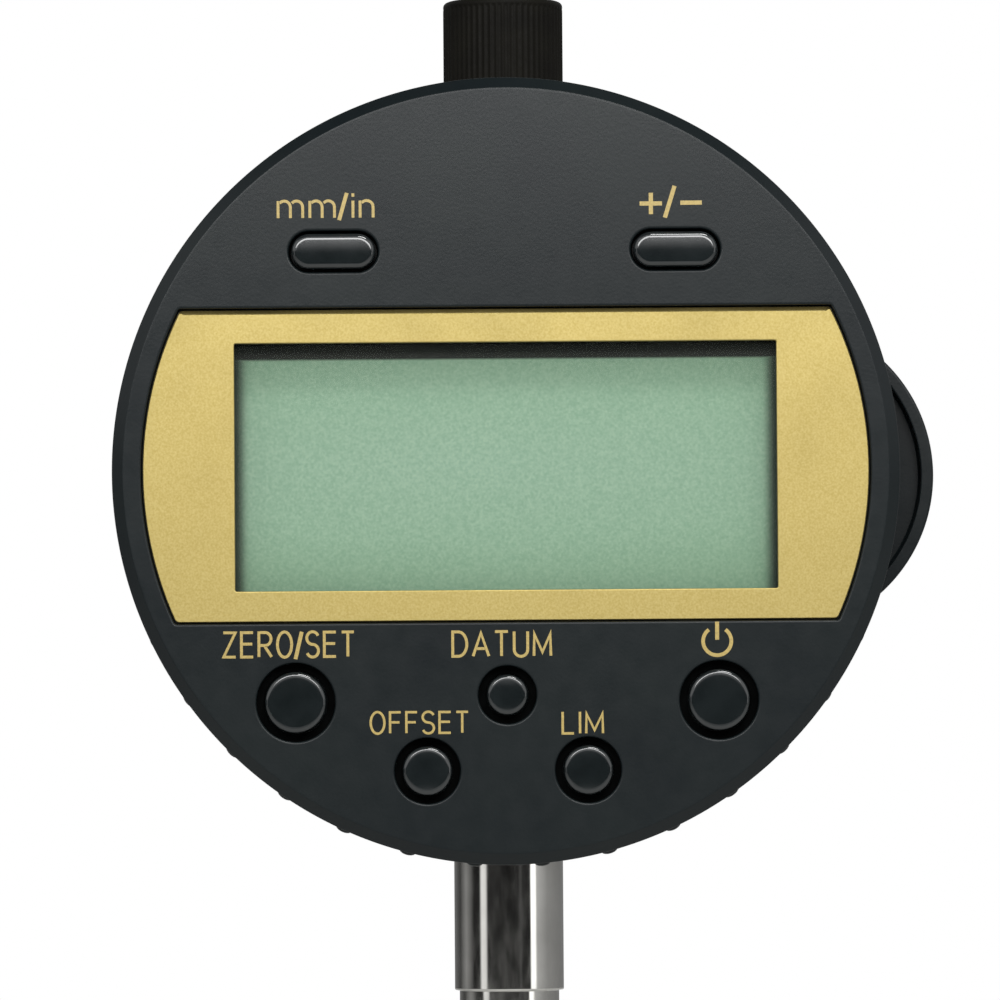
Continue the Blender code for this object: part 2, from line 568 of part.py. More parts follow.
# ---------------------------------------------------------------- the body
def body_housing():
    edge = 0.8 * MM
    profile = [(HUB_BORE, HUB_FRONT), (HUB_RADIUS, HUB_FRONT), (HUB_RADIUS, BODY_FRONT)]
    profile += [(BODY_RADIUS - edge, BODY_FRONT), (BODY_RADIUS, BODY_FRONT - edge), (BODY_RADIUS, BODY_BACK)]
    profile += [(BODY_INNER, BODY_BACK), (BODY_INNER, FLOOR_INNER), (HUB_BORE, FLOOR_INNER)]
    housing = turned("body_housing", dial, profile, SMOOTH, closed=True)

    inner_end = UPPER_BUSH_BOTTOM
    join(housing, cylinder("stem_boss", upright, BOSS_RADIUS, -BOSS_REACH, STEM_TOP + MM, sides=ROUND))
    join(housing, cylinder("top_boss", upright, BOSS_RADIUS, inner_end, BOSS_REACH, sides=ROUND))
    join(housing, cylinder("cap_spigot", upright, SPIGOT_RADIUS, BOSS_REACH - MM, BOSS_REACH + 3 * MM, sides=ROUND))

    guide_left, guide_right = -9.8 * MM, -CARRIER_WIDTH / 2 - 1.6 * MM
    guide_top = CARRIER_TOP + SPINDLE_TRAVEL - CARRIER_HEIGHT / 2 + 2 * MM
    guide_bottom = CARRIER_BOTTOM + CARRIER_HEIGHT / 2 - 2.5 * MM
    join(housing, box("guide_block", dial, (guide_left, guide_right), (guide_bottom, guide_top),
                      (-2.4 * MM, FLOOR_INNER + 0.3 * MM)))

    rail, shelf = 1.4 * MM, 1.0 * MM
    slot_half = TRAY_HALF_WIDTH + TRAY_PLAY
    mouth = sqrt(BODY_RADIUS**2 - (slot_half + rail) ** 2) - BODY_WALL / 2
    join(housing, box("tray_housing", dial, (TRAY_INNER_END - 0.4 * MM - rail, mouth),
                      (-slot_half - rail, slot_half + rail), (SHELF_FRONT - shelf, FLOOR_INNER + 0.3 * MM)))

    reach = [(0, -TRAY_HALF_WIDTH), *arc(TRAY_HALF_WIDTH, -pi / 2, pi / 2, 24), (0, TRAY_HALF_WIDTH)]
    join(housing, as_mesh(flat("tray_shelf", tray_frame, [reach], SHELF_FRONT - shelf, SHELF_FRONT)))

    for i, at in enumerate(around(COVER_POST_CIRCLE, 4, pi / 4)):
        join(housing, cylinder(f"cover_post_{i}", dial, 2.2 * MM, BODY_BACK + 0.2 * MM, FLOOR_INNER + 0.3 * MM,
                               at, FINE))
        cut(housing, cylinder(f"cover_post_hole_{i}", dial, COVER_SCREW + FIT, BODY_BACK - MM, BODY_BACK + 7 * MM,
                              at, FINE))
    for i, at in enumerate(encoder_pegs()):
        join(housing, cylinder(f"board_shoulder_{i}", dial, 1.3 * MM,
                               ENCODER_BACK + BOARD_THICKNESS + FIT, FLOOR_INNER + 0.3 * MM, at, FINE))
        join(housing, cylinder(f"board_peg_{i}", dial, PEG_RADIUS, ENCODER_BACK - 0.3 * MM, FLOOR_INNER, at, FINE))

    far = BODY_RADIUS + 10 * MM
    cut(housing, cylinder("stem_hole", upright, STEM_RADIUS + FIT, -far, STEM_TOP + 2 * MM, sides=ROUND))
    cut(housing, cylinder("spindle_hole", upright, BEARING_RADIUS + RUNNING, inner_end - MM, far, sides=ROUND))
    bush_hole = SPINDLE_RADIUS + RUNNING + UPPER_BUSH_WALL + FIT
    cut(housing, cylinder("upper_bush_hole", upright, bush_hole, inner_end - MM,
                          inner_end + UPPER_BUSH_LENGTH + FIT, sides=ROUND))
    pin_play = GUIDE_PIN_RADIUS + RUNNING / 2
    cut(housing, box("guide_slot", dial, (guide_left + 0.8 * MM, guide_right + MM),
                     (guide_bottom - MM, guide_top + MM), (-pin_play, pin_play)))
    cut(housing, box("tray_slot", dial, (TRAY_INNER_END - 0.4 * MM, far), (-slot_half, slot_half),
                     (SHELF_FRONT, FLOOR_INNER + 0.1 * MM)))
    cut(housing, cylinder("stop_pin_hole", dial, STOP_PIN_RADIUS + FIT, BODY_FRONT - MM, BODY_FRONT + MM,
                          (0, -STOP_PIN_CIRCLE), FINE))
    for i, at in enumerate(around(ring_screw_circle(), 3, pi / 2)):
        cut(housing, cylinder(f"hub_hole_{i}", dial, 0.7 * MM + FIT, BODY_FRONT - MM, HUB_FRONT + MM, at, FINE))
    return finish(housing, "die_cast")


def encoder_pegs():
    across = CARRIER_WIDTH / 2 + PEG_RADIUS + 0.4 * MM
    return [(across, 11.5 * MM), (across, -12.5 * MM)]


def ring_screw_circle():
    return (HUB_BORE + HUB_RADIUS) / 2


def pivot():
    """What holds the display unit on the hub: a spring washer, a ring, its screws and the stop pin."""
    finish(tube("friction_washer", dial, HUB_RADIUS + 3 * FIT, PIVOT_RING_RADIUS - 3 * FIT,
                WASHER_BACK, WASHER_BACK + WASHER_THICKNESS, 48), "stainless_steel")
    ring = tube("pivot_ring", dial, HUB_BORE, PIVOT_RING_RADIUS, PIVOT_RING_BACK, PIVOT_RING_FRONT, 48)
    for i, at in enumerate(around(ring_screw_circle(), 3, pi / 2)):
        cut(ring, cylinder(f"ring_hole_{i}", dial, 0.7 * MM + FIT, PIVOT_RING_BACK - MM, PIVOT_RING_FRONT + MM,
                           at, FINE))
        screw(f"pivot_ring_screw_{i + 1}", dial, at, 0.7 * MM, 1.2 * MM, PIVOT_RING_FRONT + FIT,
              PIVOT_RING_FRONT + 0.65 * MM, BODY_FRONT - 0.8 * MM)
    finish(ring, "stainless_steel")
    finish(cylinder("rotation_stop_pin", dial, STOP_PIN_RADIUS, BODY_FRONT - MM + FIT, PLATE_FRONT - 0.55 * MM,
                    (0, -STOP_PIN_CIRCLE), FINE), "stainless_steel")


def back_cover_gasket():
    """A flat ring between the housing's wall and the cover, inside their outer edge."""
    gasket = tube("back_cover_gasket", dial, BODY_INNER + 0.1 * MM, BODY_RADIUS - 0.3 * MM,
                  COVER_FRONT + FIT, BODY_BACK - FIT, SMOOTH)
    return finish(gasket, "rubber")


def back_cover():
    cover = cylinder("back_cover", dial, BODY_RADIUS, COVER_BACK, COVER_FRONT, sides=SMOOTH)
    half = LUG_THICKNESS / 2
    sideways = new_frame("lug_frame", (0, 0, LUG_DEPTH), (0, pi / 2, 0), parent=dial)
    lug = box("lug_web", dial, (-half, half), (-LUG_RADIUS, LUG_RADIUS), (LUG_DEPTH, COVER_BACK + 0.6 * MM))
    join(cover, lug, cylinder("lug_end", sideways, LUG_RADIUS, -half, half, sides=ROUND))
    cut(cover, cylinder("lug_hole", sideways, LUG_HOLE, -half - MM, half + MM, sides=ROUND))
    head_seat = COVER_BACK + 0.9 * MM
    for i, at in enumerate(around(COVER_POST_CIRCLE, 4, pi / 4)):
        cut(cover, seated_hole(f"cover_hole_{i}", dial, at, COVER_SCREW + FIT, 1.9 * MM,
                               COVER_BACK - MM, head_seat, COVER_FRONT + MM))
        screw(f"back_cover_screw_{i + 1}", dial, at, COVER_SCREW, 1.7 * MM,
              COVER_BACK + FIT, head_seat - FIT, COVER_FRONT + 6 * MM)
    return finish(cover, "die_cast")


def stem():
    bevel = 0.25 * MM
    profile = [(STEM_BORE, STEM_TOP), (STEM_RADIUS, STEM_TOP), (STEM_RADIUS, STEM_END + bevel)]
    profile += [(STEM_RADIUS - bevel, STEM_END), (NOSE_RADIUS, STEM_END), (NOSE_RADIUS, NOSE_END + bevel)]
    profile += [(NOSE_RADIUS - bevel, NOSE_END), (STEM_BORE, NOSE_END)]
    finish(turned("stem", upright, profile, ROUND, closed=True), "stainless_steel")
    bush_outer = STEM_BORE - FIT
    seal_top = NOSE_END + 0.8 * MM
    finish(tube("lower_bush", upright, BEARING_RADIUS, bush_outer, seal_top + FIT, seal_top + 10 * MM), "bronze")
    finish(tube("stem_wiper_seal", upright, BEARING_RADIUS, bush_outer, NOSE_END + FIT, seal_top), "rubber")
    finish(tube("spindle_bumper", upright, BEARING_RADIUS + RUNNING, STEM_RADIUS - FIT,
                STEM_TOP + FIT, STEM_TOP + FIT + BUMPER_THICKNESS), "rubber")


def upper_bush():
    """A flanged bush in the top boss; the return spring pushes on its flange."""
    outer, flange = BEARING_RADIUS + UPPER_BUSH_WALL, BOSS_RADIUS - 0.5 * MM
    seat = UPPER_BUSH_BOTTOM - FIT
    profile = [(BEARING_RADIUS, seat + UPPER_BUSH_LENGTH), (outer, seat + UPPER_BUSH_LENGTH), (outer, seat)]
    profile += [(flange, seat), (flange, seat - UPPER_BUSH_FLANGE), (BEARING_RADIUS, seat - UPPER_BUSH_FLANGE)]
    return finish(turned("upper_bush", upright, profile, ROUND, closed=True), "bronze")


def top_cap():
    """Screws on the spigot over the spindle's upper end, which rises into it."""
    bevel, bottom = 0.5 * MM, BOSS_REACH + CAP_GAP
    inner = SPIGOT_RADIUS + FIT
    profile = [(0, CAP_TOP), (CAP_RADIUS - bevel, CAP_TOP), (CAP_RADIUS, CAP_TOP - bevel), (CAP_RADIUS, bottom)]
    profile += [(inner, bottom), (inner, CAP_TOP - CAP_WALL), (0, CAP_TOP - CAP_WALL)]
    return finish(turned("top_cap", upright, profile, ROUND), "cap_plastic")


def encoder():
    """The fixed reading board in front of the moving scale strip, with its chip and ribbon."""
    top, bottom = encoder_pegs()[0][1] + 1.5 * MM, encoder_pegs()[1][1] - 1.5 * MM
    board_front = ENCODER_BACK + BOARD_THICKNESS
    left, right = -CARRIER_WIDTH / 2 - 1.2 * MM, encoder_pegs()[0][0] + PEG_RADIUS + 0.9 * MM
    board = box("encoder_board", dial, (left, right), (bottom, top), (ENCODER_BACK, board_front))
    for i, at in enumerate(encoder_pegs()):
        cut(board, cylinder(f"peg_hole_{i}", dial, PEG_RADIUS + FIT, ENCODER_BACK - MM, board_front + MM, at, FINE))
    finish(board, "circuit_board")
    finish(box("encoder_chip", dial, (-2.5 * MM, 2.5 * MM), (-1.6 * MM, 3.4 * MM),
               (board_front + FIT, board_front + 1.1 * MM)), "chip_epoxy")
    ribbon = [(-4.6 * MM, board_front + 0.3 * MM), (-3.4 * MM, board_front + 0.3 * MM),
              (-3.1 * MM, board_front + 0.8 * MM), (-3.1 * MM, BOARD_BACK - 1.2 * MM),
              (-2.6 * MM, BOARD_BACK - 0.5 * MM), (MM, BOARD_BACK - 0.5 * MM)]
    strip = leaf("sensor_ribbon", dial, [(z, x) for z, x in ribbon], 0, -2.0 * MM, 2.0 * MM, 0.15 * MM)
    finish(strip, "polyimide")


def battery_contacts():
    lower = SHELF_FRONT + 0.1 * MM
    path = [(TRAY_INNER_END + MM, lower), (TRAY_INNER_END + 3 * MM, lower),
            (TRAY_INNER_END + 5.5 * MM, CELL_BACK - 0.13 * MM), (TRAY_INNER_END + 8 * MM, lower)]
    finish(leaf("negative_contact", dial, path, 1, -1.5 * MM, 1.5 * MM, 0.1 * MM), "stainless_steel")
    wall = TRAY_INNER_END - 0.25 * MM
    cell_edge = TRAY_CENTRE - CELL_RADIUS
    path = [(wall, -3.5 * MM), (wall, -2.2 * MM), (cell_edge - 0.15 * MM, 0), (wall, 2.2 * MM), (wall, 3.5 * MM)]
    middle = (CELL_FRONT + CELL_BACK) / 2
    finish(leaf("positive_contact", dial, path, 2, middle - MM, middle + MM, 0.1 * MM), "stainless_steel")


# ---------------------------------------------------------------- the sliding pieces
def battery_tray():
    """Round-ended drawer: a shallow rimmed recess in front, the cell's pocket behind."""
    def drawer(inset):
        half, inner = TRAY_HALF_WIDTH - inset, TRAY_INNER_END - TRAY_CENTRE + inset
        return [(inner, -half), *arc(half, -pi / 2, pi / 2, 24), (inner, half)]

    tray = as_mesh(flat("battery_tray", tray_frame, [drawer(0)], TRAY_BACK, TRAY_FRONT))
    recess = as_mesh(flat("tray_recess", tray_frame, [drawer(TRAY_RIM)], TRAY_FRONT - TRAY_RECESS, TRAY_FRONT + MM))
    pocket = cylinder("cell_pocket", tray_frame, CELL_RADIUS + 0.2 * MM, TRAY_BACK - MM, CELL_FRONT + FIT, sides=48)
    notch = box("contact_notch", tray_frame, (-CELL_RADIUS - 2 * MM, -CELL_RADIUS + MM), (-4 * MM, 4 * MM),
                (TRAY_BACK - MM, CELL_FRONT))
    finish(cut(tray, recess, pocket, notch), "case_plastic")
    edge = 0.3 * MM
    profile = [(0, CELL_FRONT), (CELL_RADIUS - edge, CELL_FRONT), (CELL_RADIUS, CELL_FRONT - edge)]
    profile += [(CELL_RADIUS, CELL_BACK + edge), (CELL_RADIUS - edge, CELL_BACK), (0, CELL_BACK)]
    finish(turned("coin_cell", tray_frame, profile, 48), "stainless_steel")


def spindle_group():
    """Spindle, contact point, and the carrier that holds the scale strip and its guide pin."""
    stud, stud_length, bevel = 1.25 * MM, 4.5 * MM, 0.3 * MM
    profile = [(0, SPINDLE_TOP), (SPINDLE_RADIUS - bevel, SPINDLE_TOP), (SPINDLE_RADIUS, SPINDLE_TOP - bevel)]
    profile += [(SPINDLE_RADIUS, SPINDLE_BOTTOM), (stud + FIT, SPINDLE_BOTTOM)]
    profile += [(stud + FIT, SPINDLE_BOTTOM + stud_length + FIT), (0, SPINDLE_BOTTOM + stud_length + FIT)]
    finish(turned("spindle", slider, profile, ROUND), "stainless_steel")

    top = SPINDLE_BOTTOM - FIT
    ball_centre = SPINDLE_BOTTOM - CONTACT_LENGTH + CONTACT_BALL
    shoulder = SPINDLE_RADIUS + 0.25 * MM
    ball = [(CONTACT_BALL * cos(a), ball_centre + CONTACT_BALL * sin(a))
            for a in [radians(20) - i * radians(110) / 6 for i in range(7)]]
    ball[-1] = (0, ball_centre - CONTACT_BALL)
    profile = [(0, top + stud_length), (stud, top + stud_length), (stud, top), (shoulder, top)]
    profile += [(shoulder, top - 2.4 * MM), *ball]
    finish(turned("contact_point", slider, profile, ROUND), "stainless_steel")

    half_width, half_depth = CARRIER_WIDTH / 2, CARRIER_THICKNESS / 2
    middle = (CARRIER_BOTTOM + CARRIER_TOP) / 2
    carrier = box("scale_carrier", slider, (-half_width, half_width), (-half_depth, half_depth),
                  (CARRIER_BOTTOM, CARRIER_TOP))
    left = new_frame("guide_pin_frame", (0, 0, middle), (0, -pi / 2, 0), parent=slider)
    right = new_frame("set_screw_frame", (0, 0, middle), (0, pi / 2, 0), parent=slider)
    cut(carrier, cylinder("carrier_bore", slider, SPINDLE_RADIUS + FIT, CARRIER_BOTTOM - MM, CARRIER_TOP + MM))
    pin_root = SPINDLE_RADIUS + 0.5 * MM
    cut(carrier, cylinder("guide_pin_hole", left, GUIDE_PIN_RADIUS + FIT, pin_root - FIT, half_width + MM, sides=FINE))
    cut(carrier, cylinder("set_screw_hole", right, 0.8 * MM, pin_root - FIT, half_width + MM, sides=FINE))
    finish(carrier, "stainless_steel")
    finish(cylinder("guide_pin", left, GUIDE_PIN_RADIUS, pin_root, half_width + 4.8 * MM, sides=FINE),
           "stainless_steel")
    finish(cylinder("carrier_set_screw", right, 0.7 * MM, pin_root, half_width + 0.2 * MM, sides=FINE),
           "stainless_steel")
    finish(box("scale_strip", slider, (-half_width, half_width), (-STRIP_BACK - STRIP_THICKNESS, -STRIP_BACK),
               (STRIP_TOP - STRIP_LENGTH, STRIP_TOP)), "circuit_board")


def return_spring():
    """Compression coil between the carrier and the upper bush, round the spindle."""
    clearance = SPRING_WIRE / 2 + 2 * FIT
    low, high = CARRIER_TOP + clearance, UPPER_BUSH_BOTTOM - FIT - UPPER_BUSH_FLANGE - clearance
    radius = SPRING_OUTER - SPRING_WIRE / 2
    steps = 8 * SPRING_TURNS
    curve = bpy.data.curves.new("return_spring", "CURVE")
    curve.dimensions = "3D"
    curve.bevel_depth = SPRING_WIRE / 2
    curve.bevel_resolution = 1
    curve.use_fill_caps = True
    spline = curve.splines.new("POLY")
    spline.points.add(steps)
    for i, point in enumerate(spline.points):
        angle = i * 2 * pi / 8
        point.co = (radius * cos(angle), radius * sin(angle), low + (high - low) * i / steps, 1)
    return finish(add_object("return_spring", curve, upright), "stainless_steel")


clear_scene()
parts = new_collection("digital_dial_indicator")
cutters = new_collection("cutters")
cutters.hide_render = True

# Local X is right in every frame. In the dial frames local Y is up and local Z points forwards.
upright = new_frame("stem_axis", (0, 0, DIAL_HEIGHT))
slider = new_frame("spindle_axis", (0, 0, DIAL_HEIGHT))
dial = new_frame("dial_axis", (0, 0, DIAL_HEIGHT), (pi / 2, 0, 0))
display = new_frame("display_axis", (0, 0, DIAL_HEIGHT), (pi / 2, 0, 0))
tray_frame = new_frame("tray_axis", (TRAY_CENTRE, 0, 0), parent=dial)

front_case()
bezel_plate()
display_window()
lcd_panel()
zebra_strips()
display_board()
buttons()
display_back_plate()

body_housing()
pivot()
back_cover_gasket()
back_cover()
stem()
upper_bush()
top_cap()
encoder()
battery_contacts()

battery_tray()
spindle_group()
return_spring()
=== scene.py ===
# %% [markdown]
# # A digital dial indicator, one piece at a time
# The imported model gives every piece's place and how it moves. It is plain, though: its circles have flat sides, its
# edges are sharp, and nothing is printed on it. This lesson keeps its sizes and joints, and makes the surfaces that
# an eye or a lens would see.

# %% Load the frame and note its size
import json

import bmesh
import bpy
import numpy as np
from mathutils import Matrix, Vector
from mathutils.geometry import delaunay_2d_cdt


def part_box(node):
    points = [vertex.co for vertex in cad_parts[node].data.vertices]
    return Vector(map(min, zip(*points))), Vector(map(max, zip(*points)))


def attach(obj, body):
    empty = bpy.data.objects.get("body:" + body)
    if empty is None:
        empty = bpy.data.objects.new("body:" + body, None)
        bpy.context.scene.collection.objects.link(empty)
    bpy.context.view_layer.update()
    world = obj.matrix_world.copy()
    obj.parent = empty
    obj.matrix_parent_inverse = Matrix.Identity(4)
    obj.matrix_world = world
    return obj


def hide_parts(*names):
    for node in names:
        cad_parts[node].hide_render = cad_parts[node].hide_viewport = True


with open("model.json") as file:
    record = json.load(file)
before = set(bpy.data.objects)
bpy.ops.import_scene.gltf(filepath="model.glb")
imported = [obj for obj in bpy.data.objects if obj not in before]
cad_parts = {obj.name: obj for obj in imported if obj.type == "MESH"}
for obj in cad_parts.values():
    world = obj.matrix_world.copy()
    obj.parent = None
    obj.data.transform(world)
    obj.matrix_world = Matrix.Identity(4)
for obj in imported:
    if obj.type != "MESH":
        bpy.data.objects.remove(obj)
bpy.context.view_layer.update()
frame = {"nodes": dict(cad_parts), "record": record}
MM = 0.001


def size_of(node):
    """The lowest and highest corner of a node, in millimetres."""
    low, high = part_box(node)
    return np.array(low) / MM, np.array(high) / MM


case_low, case_high = size_of("front_case")
DIAL = (case_low[2] + case_high[2]) / 2  # height of the dial's centre
FACE = -case_low[1]  # how far the face stands in front of the spindle's axis
CASE_BACK = -case_high[1]
FACE_RADIUS = 28.0
print(f"dial centre {DIAL:.1f} mm above the stem's middle, face {FACE:.1f} mm in front of the spindle")

# %% [markdown]
# ## Outlines, profiles and panels
# Most pieces here are flat shapes with rounded edges: wells, pockets, plates, keys. The same surface could come from
# Booleans and a Bevel, but those leave uneven triangles that catch the light. Instead, each outline is a chain of arcs
# whose outward normal is known at every point, so a profile can be carried along it at an exact offset, and the
# flat sheets between outlines are triangulated from the very same points. The patches then weld into one closed shell.


# %% An outline made of arcs
def outline(*arcs, step=0.25):
    """Spine and outward normal along a closed outline of arcs (x, y, radius, start, end in degrees), anticlockwise.
    A point of the outline is centre + radius × (cos a, sin a); a straight run joins each arc to the next."""
    spine, normal = [], []
    for x, y, radius, start, end in arcs:
        count = max(3, int(abs(np.radians(end - start)) * max(radius, 1.2) / step)) + 1
        angle = np.radians(np.linspace(start, end, count))
        way = np.stack([np.cos(angle), np.sin(angle)], 1)
        here = np.array([x, y]) + radius * way
        if spine:
            run = np.linspace(spine[-1][-1], here[0], max(2, int(np.hypot(*(here[0] - spine[-1][-1])) / step)))[1:-1]
            spine.append(run)
            normal.append(np.repeat(way[:1], len(run), 0))
        spine.append(here)
        normal.append(way)
    gap = np.hypot(*(spine[0][0] - spine[-1][-1]))
    if gap < 1e-6:
        spine[-1], normal[-1] = spine[-1][:-1], normal[-1][:-1]
    else:
        run = np.linspace(spine[-1][-1], spine[0][0], max(2, int(gap / step)))[1:-1]
        spine.append(run)
        normal.append(np.repeat(normal[0][:1], len(run), 0))
    return np.concatenate(spine), np.concatenate(normal)


def ring(count):
    """The unit circle as an outline of radius nought: offsets along it are radii."""
    angle = np.linspace(0, 2 * np.pi, count, endpoint=False)
    return np.zeros((count, 2)), np.stack([np.cos(angle), np.sin(angle)], 1)


def pill(half_length, step=0.12, x=0.0, y=0.0):
    """A slot with round ends: its offset is the radius of the ends."""
    if half_length == 0:
        spine, normal = ring(72)
        return spine + (x, y), normal
    return outline((x + half_length, y, 0, -90, 90), (x - half_length, y, 0, 90, 270), step=step)


def barrel(radius, top, bottom, corner=0.25):
    """A disc cut off straight above and below, with small corner radii: concentric arcs at both sides."""
    inner = radius - corner
    high, low = np.degrees(np.arcsin((top - corner) / inner)), np.degrees(np.arcsin((bottom + corner) / inner))
    at = {a: inner * np.array([np.cos(np.radians(a)), np.sin(np.radians(a))]) for a in (high, low)}
    (right_high, right_low) = at[high], at[low]
    return outline(
        (0, 0, radius, low, high),
        (*right_high, corner, high, 90),
        (-right_high[0], right_high[1], corner, 90, 180 - high),
        (0, 0, radius, 180 - high, 180 - low),
        (-right_low[0], right_low[1], corner, 180 - low, 270),
        (*right_low, corner, 270, 360 + low),
    )


def oblong(width, top, bottom, corner=0.12):
    """A rectangle about x = 0 with small corner radii."""
    x, high, low = width / 2 - corner, top - corner, bottom + corner
    return outline((x, high, corner, 0, 90), (-x, high, corner, 90, 180), (-x, low, corner, 180, 270),
                   (x, low, corner, 270, 360))


print("outline of the bezel's pocket:", len(barrel(25.9, 11.6, -10.8)[0]), "points")


# %% Patches: a grid, a carried profile and a flat panel
def on_dial(x, y, depth):
    """Dial coordinates (right, up from the dial's centre, forwards) to the frame, in millimetres."""
    return np.stack([x, -depth, DIAL + y], -1)


def upright(x, y, height):
    """Coordinates round the spindle's axis; here the profile's height is the frame's own Z."""
    return np.stack([x, y, height], -1)


def grid(points, closed=True):
    """Quads between neighbouring rows and columns of an array of points; a closed grid also joins last to first."""
    rows, columns = points.shape[:2]
    row, column = np.meshgrid(np.arange(rows - 1), np.arange(columns if closed else columns - 1), indexing="ij")
    following = (column + 1) % columns
    corners = (row * columns + column, row * columns + following,
               (row + 1) * columns + following, (row + 1) * columns + column)
    return points.reshape(-1, 3), np.stack(corners, -1).reshape(-1, 4).tolist()


def carried(path, profile, place=on_dial, guard=0.06):
    """A profile carried along an outline: point = spine + offset × normal, at the profile's height. Offsets may be a
    row for each profile point, to vary along the outline. A long run gets a guard row just inside each of its ends,
    so that it stays flat to the eye right up to a rounded corner."""
    spine, normal = path
    rows = [np.stack([np.broadcast_to(offset, len(spine)), np.broadcast_to(height, len(spine))]).astype(float)
            for offset, height in profile]
    guarded = rows[:1]
    for before, after in zip(rows[:-1], rows[1:]):
        length = np.hypot(*(after - before)).min()
        if length > 6 * guard:
            guarded += [before + (after - before) * guard / length, after + (before - after) * guard / length]
        guarded.append(after)
    offset, height = np.stack(guarded, 1)
    xy = spine[None] + offset[..., None] * normal[None]
    return grid(place(xy[..., 0], xy[..., 1], height))


def at_offset(path, offset):
    """The outline moved outwards: spine + offset × normal."""
    return path[0] + offset * path[1]


def panel(height, *loops, place=on_dial):
    """The flat sheet inside the first loop and outside the others, triangulated from the loops' own points. The
    holes are all convex, so a triangle lies in a hole exactly when its three corners are on that hole's loop."""
    xy = np.concatenate(loops)
    starts = np.cumsum([0] + [len(loop) for loop in loops])
    edges = [np.stack([a + np.arange(b - a), a + (np.arange(b - a) + 1) % (b - a)], 1)
             for a, b in zip(starts[:-1], starts[1:])]
    made = delaunay_2d_cdt([Vector(p) for p in xy.tolist()], np.concatenate(edges).tolist(), [], 1, 1e-6)
    flat = np.array([tuple(p) for p in made[0]])
    loop_of = np.searchsorted(starts, [min(origin, default=0) for origin in made[3]], side="right") - 1
    kept = [list(face) for face in made[2] if loop_of[face[0]] == 0 or len({loop_of[i] for i in face}) > 1]
    return place(flat[:, 0], flat[:, 1], np.full(len(flat), float(height))), kept


def bend(x, y, radius, start, end, steps=6):
    """Profile points round a corner: (x + radius cos a, y + radius sin a), angles in degrees."""
    angle = np.radians(np.linspace(start, end, steps + 1))
    return list(zip(x + radius * np.cos(angle), y + radius * np.sin(angle)))


# %% [markdown]
# The patches of a piece share their border points, so merging doubles closes the shell. Faces are then turned
# outwards, which is safe on a closed shell, and shaded smooth except where two faces meet at a real edge. An extra
# narrow ring of flat faces beside each rounded edge keeps the big flat sheets from shading like pillows.


# %% One finished piece from its patches
WELD = 0.002  # points closer than this are one point
SHARP = 35  # faces that meet at more degrees than this show an edge


def welded(name, points, faces):
    """A mesh of points in millimetres, doubles merged and faces turned outwards, and its number of open edges."""
    mesh = bpy.data.meshes.new(name)
    mesh.from_pydata((points * MM).tolist(), [], faces)
    shell = bmesh.new()
    shell.from_mesh(mesh)
    bmesh.ops.remove_doubles(shell, verts=shell.verts, dist=WELD * MM)
    bmesh.ops.recalc_face_normals(shell, faces=shell.faces)
    opened = sum(len(edge.link_faces) != 2 for edge in shell.edges)
    shell.to_mesh(mesh)
    shell.free()
    return mesh, opened


def add(name, data):
    """An object for some data, in the scene and at the origin."""
    made = bpy.data.objects.new(name, data)
    bpy.context.scene.collection.objects.link(made)
    return made


def piece(name, patches, finish, body, *nodes):
    """Joins the patches into one shell, and hangs it on its body in place of its nodes."""
    points = np.concatenate([np.asarray(p, float) for p, _ in patches])
    starts = np.cumsum([0] + [len(p) for p, _ in patches])
    faces = [[start + i for i in face] for (_, made), start in zip(patches, starts) for face in made]
    mesh, opened = welded(name, points, faces)
    mesh.shade_smooth()
    mesh.set_sharp_from_angle(angle=np.radians(SHARP))
    mesh.materials.append(finish)
    made = add(name, mesh)
    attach(made, body)
    if nodes:
        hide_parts(*nodes)
    print(f"{name}: {len(mesh.polygons)} faces, {opened} open edges")
    return made


# %% [markdown]
# ## Finishes
# Colours are written as the eye names them, in sRGB, and one function turns them linear for the shader. One function
# adds a node. Almost every finish here is the same three things at different sizes: a colour that drifts, a gloss that
# wanders, and a relief. So one recipe makes them all from noise, whose grain is a real size in millimetres, and
# the few finishes with more to them go on from there.


# %% Colours and nodes
def linear(colour):
    """sRGB hex to linear: c/12.92 in the dark, ((c + 0.055)/1.055)^2.4 above 0.04045."""
    c = np.array([int(colour[i:i + 2], 16) for i in (1, 3, 5)]) / 255
    return (*np.where(c <= 0.04045, c / 12.92, ((c + 0.055) / 1.055) ** 2.4), 1.0)


def node(tree, kind, settings=None, **links):
    """Adds a shader node, sets its properties, sockets or ramp stops, and links inputs from (node, output) pairs.
    A link named _0, _1 … goes to the input with that number."""
    made = tree.nodes.new("ShaderNode" + kind)
    for key, value in (settings or {}).items():
        if key == "stops":
            while len(made.color_ramp.elements) < len(value):
                made.color_ramp.elements.new(0.5)
            for element, (position, colour) in zip(made.color_ramp.elements, value):
                element.position = position
                element.color = linear(colour) if isinstance(colour, str) else (colour, colour, colour, 1)
        elif hasattr(made, key):
            setattr(made, key, value)
        else:
            made.inputs[key].default_value = value
    for key, (source, output) in links.items():
        tree.links.new(source.outputs[output], made.inputs[int(key[1:])] if key[0] == "_" else made.inputs[key])
    return made


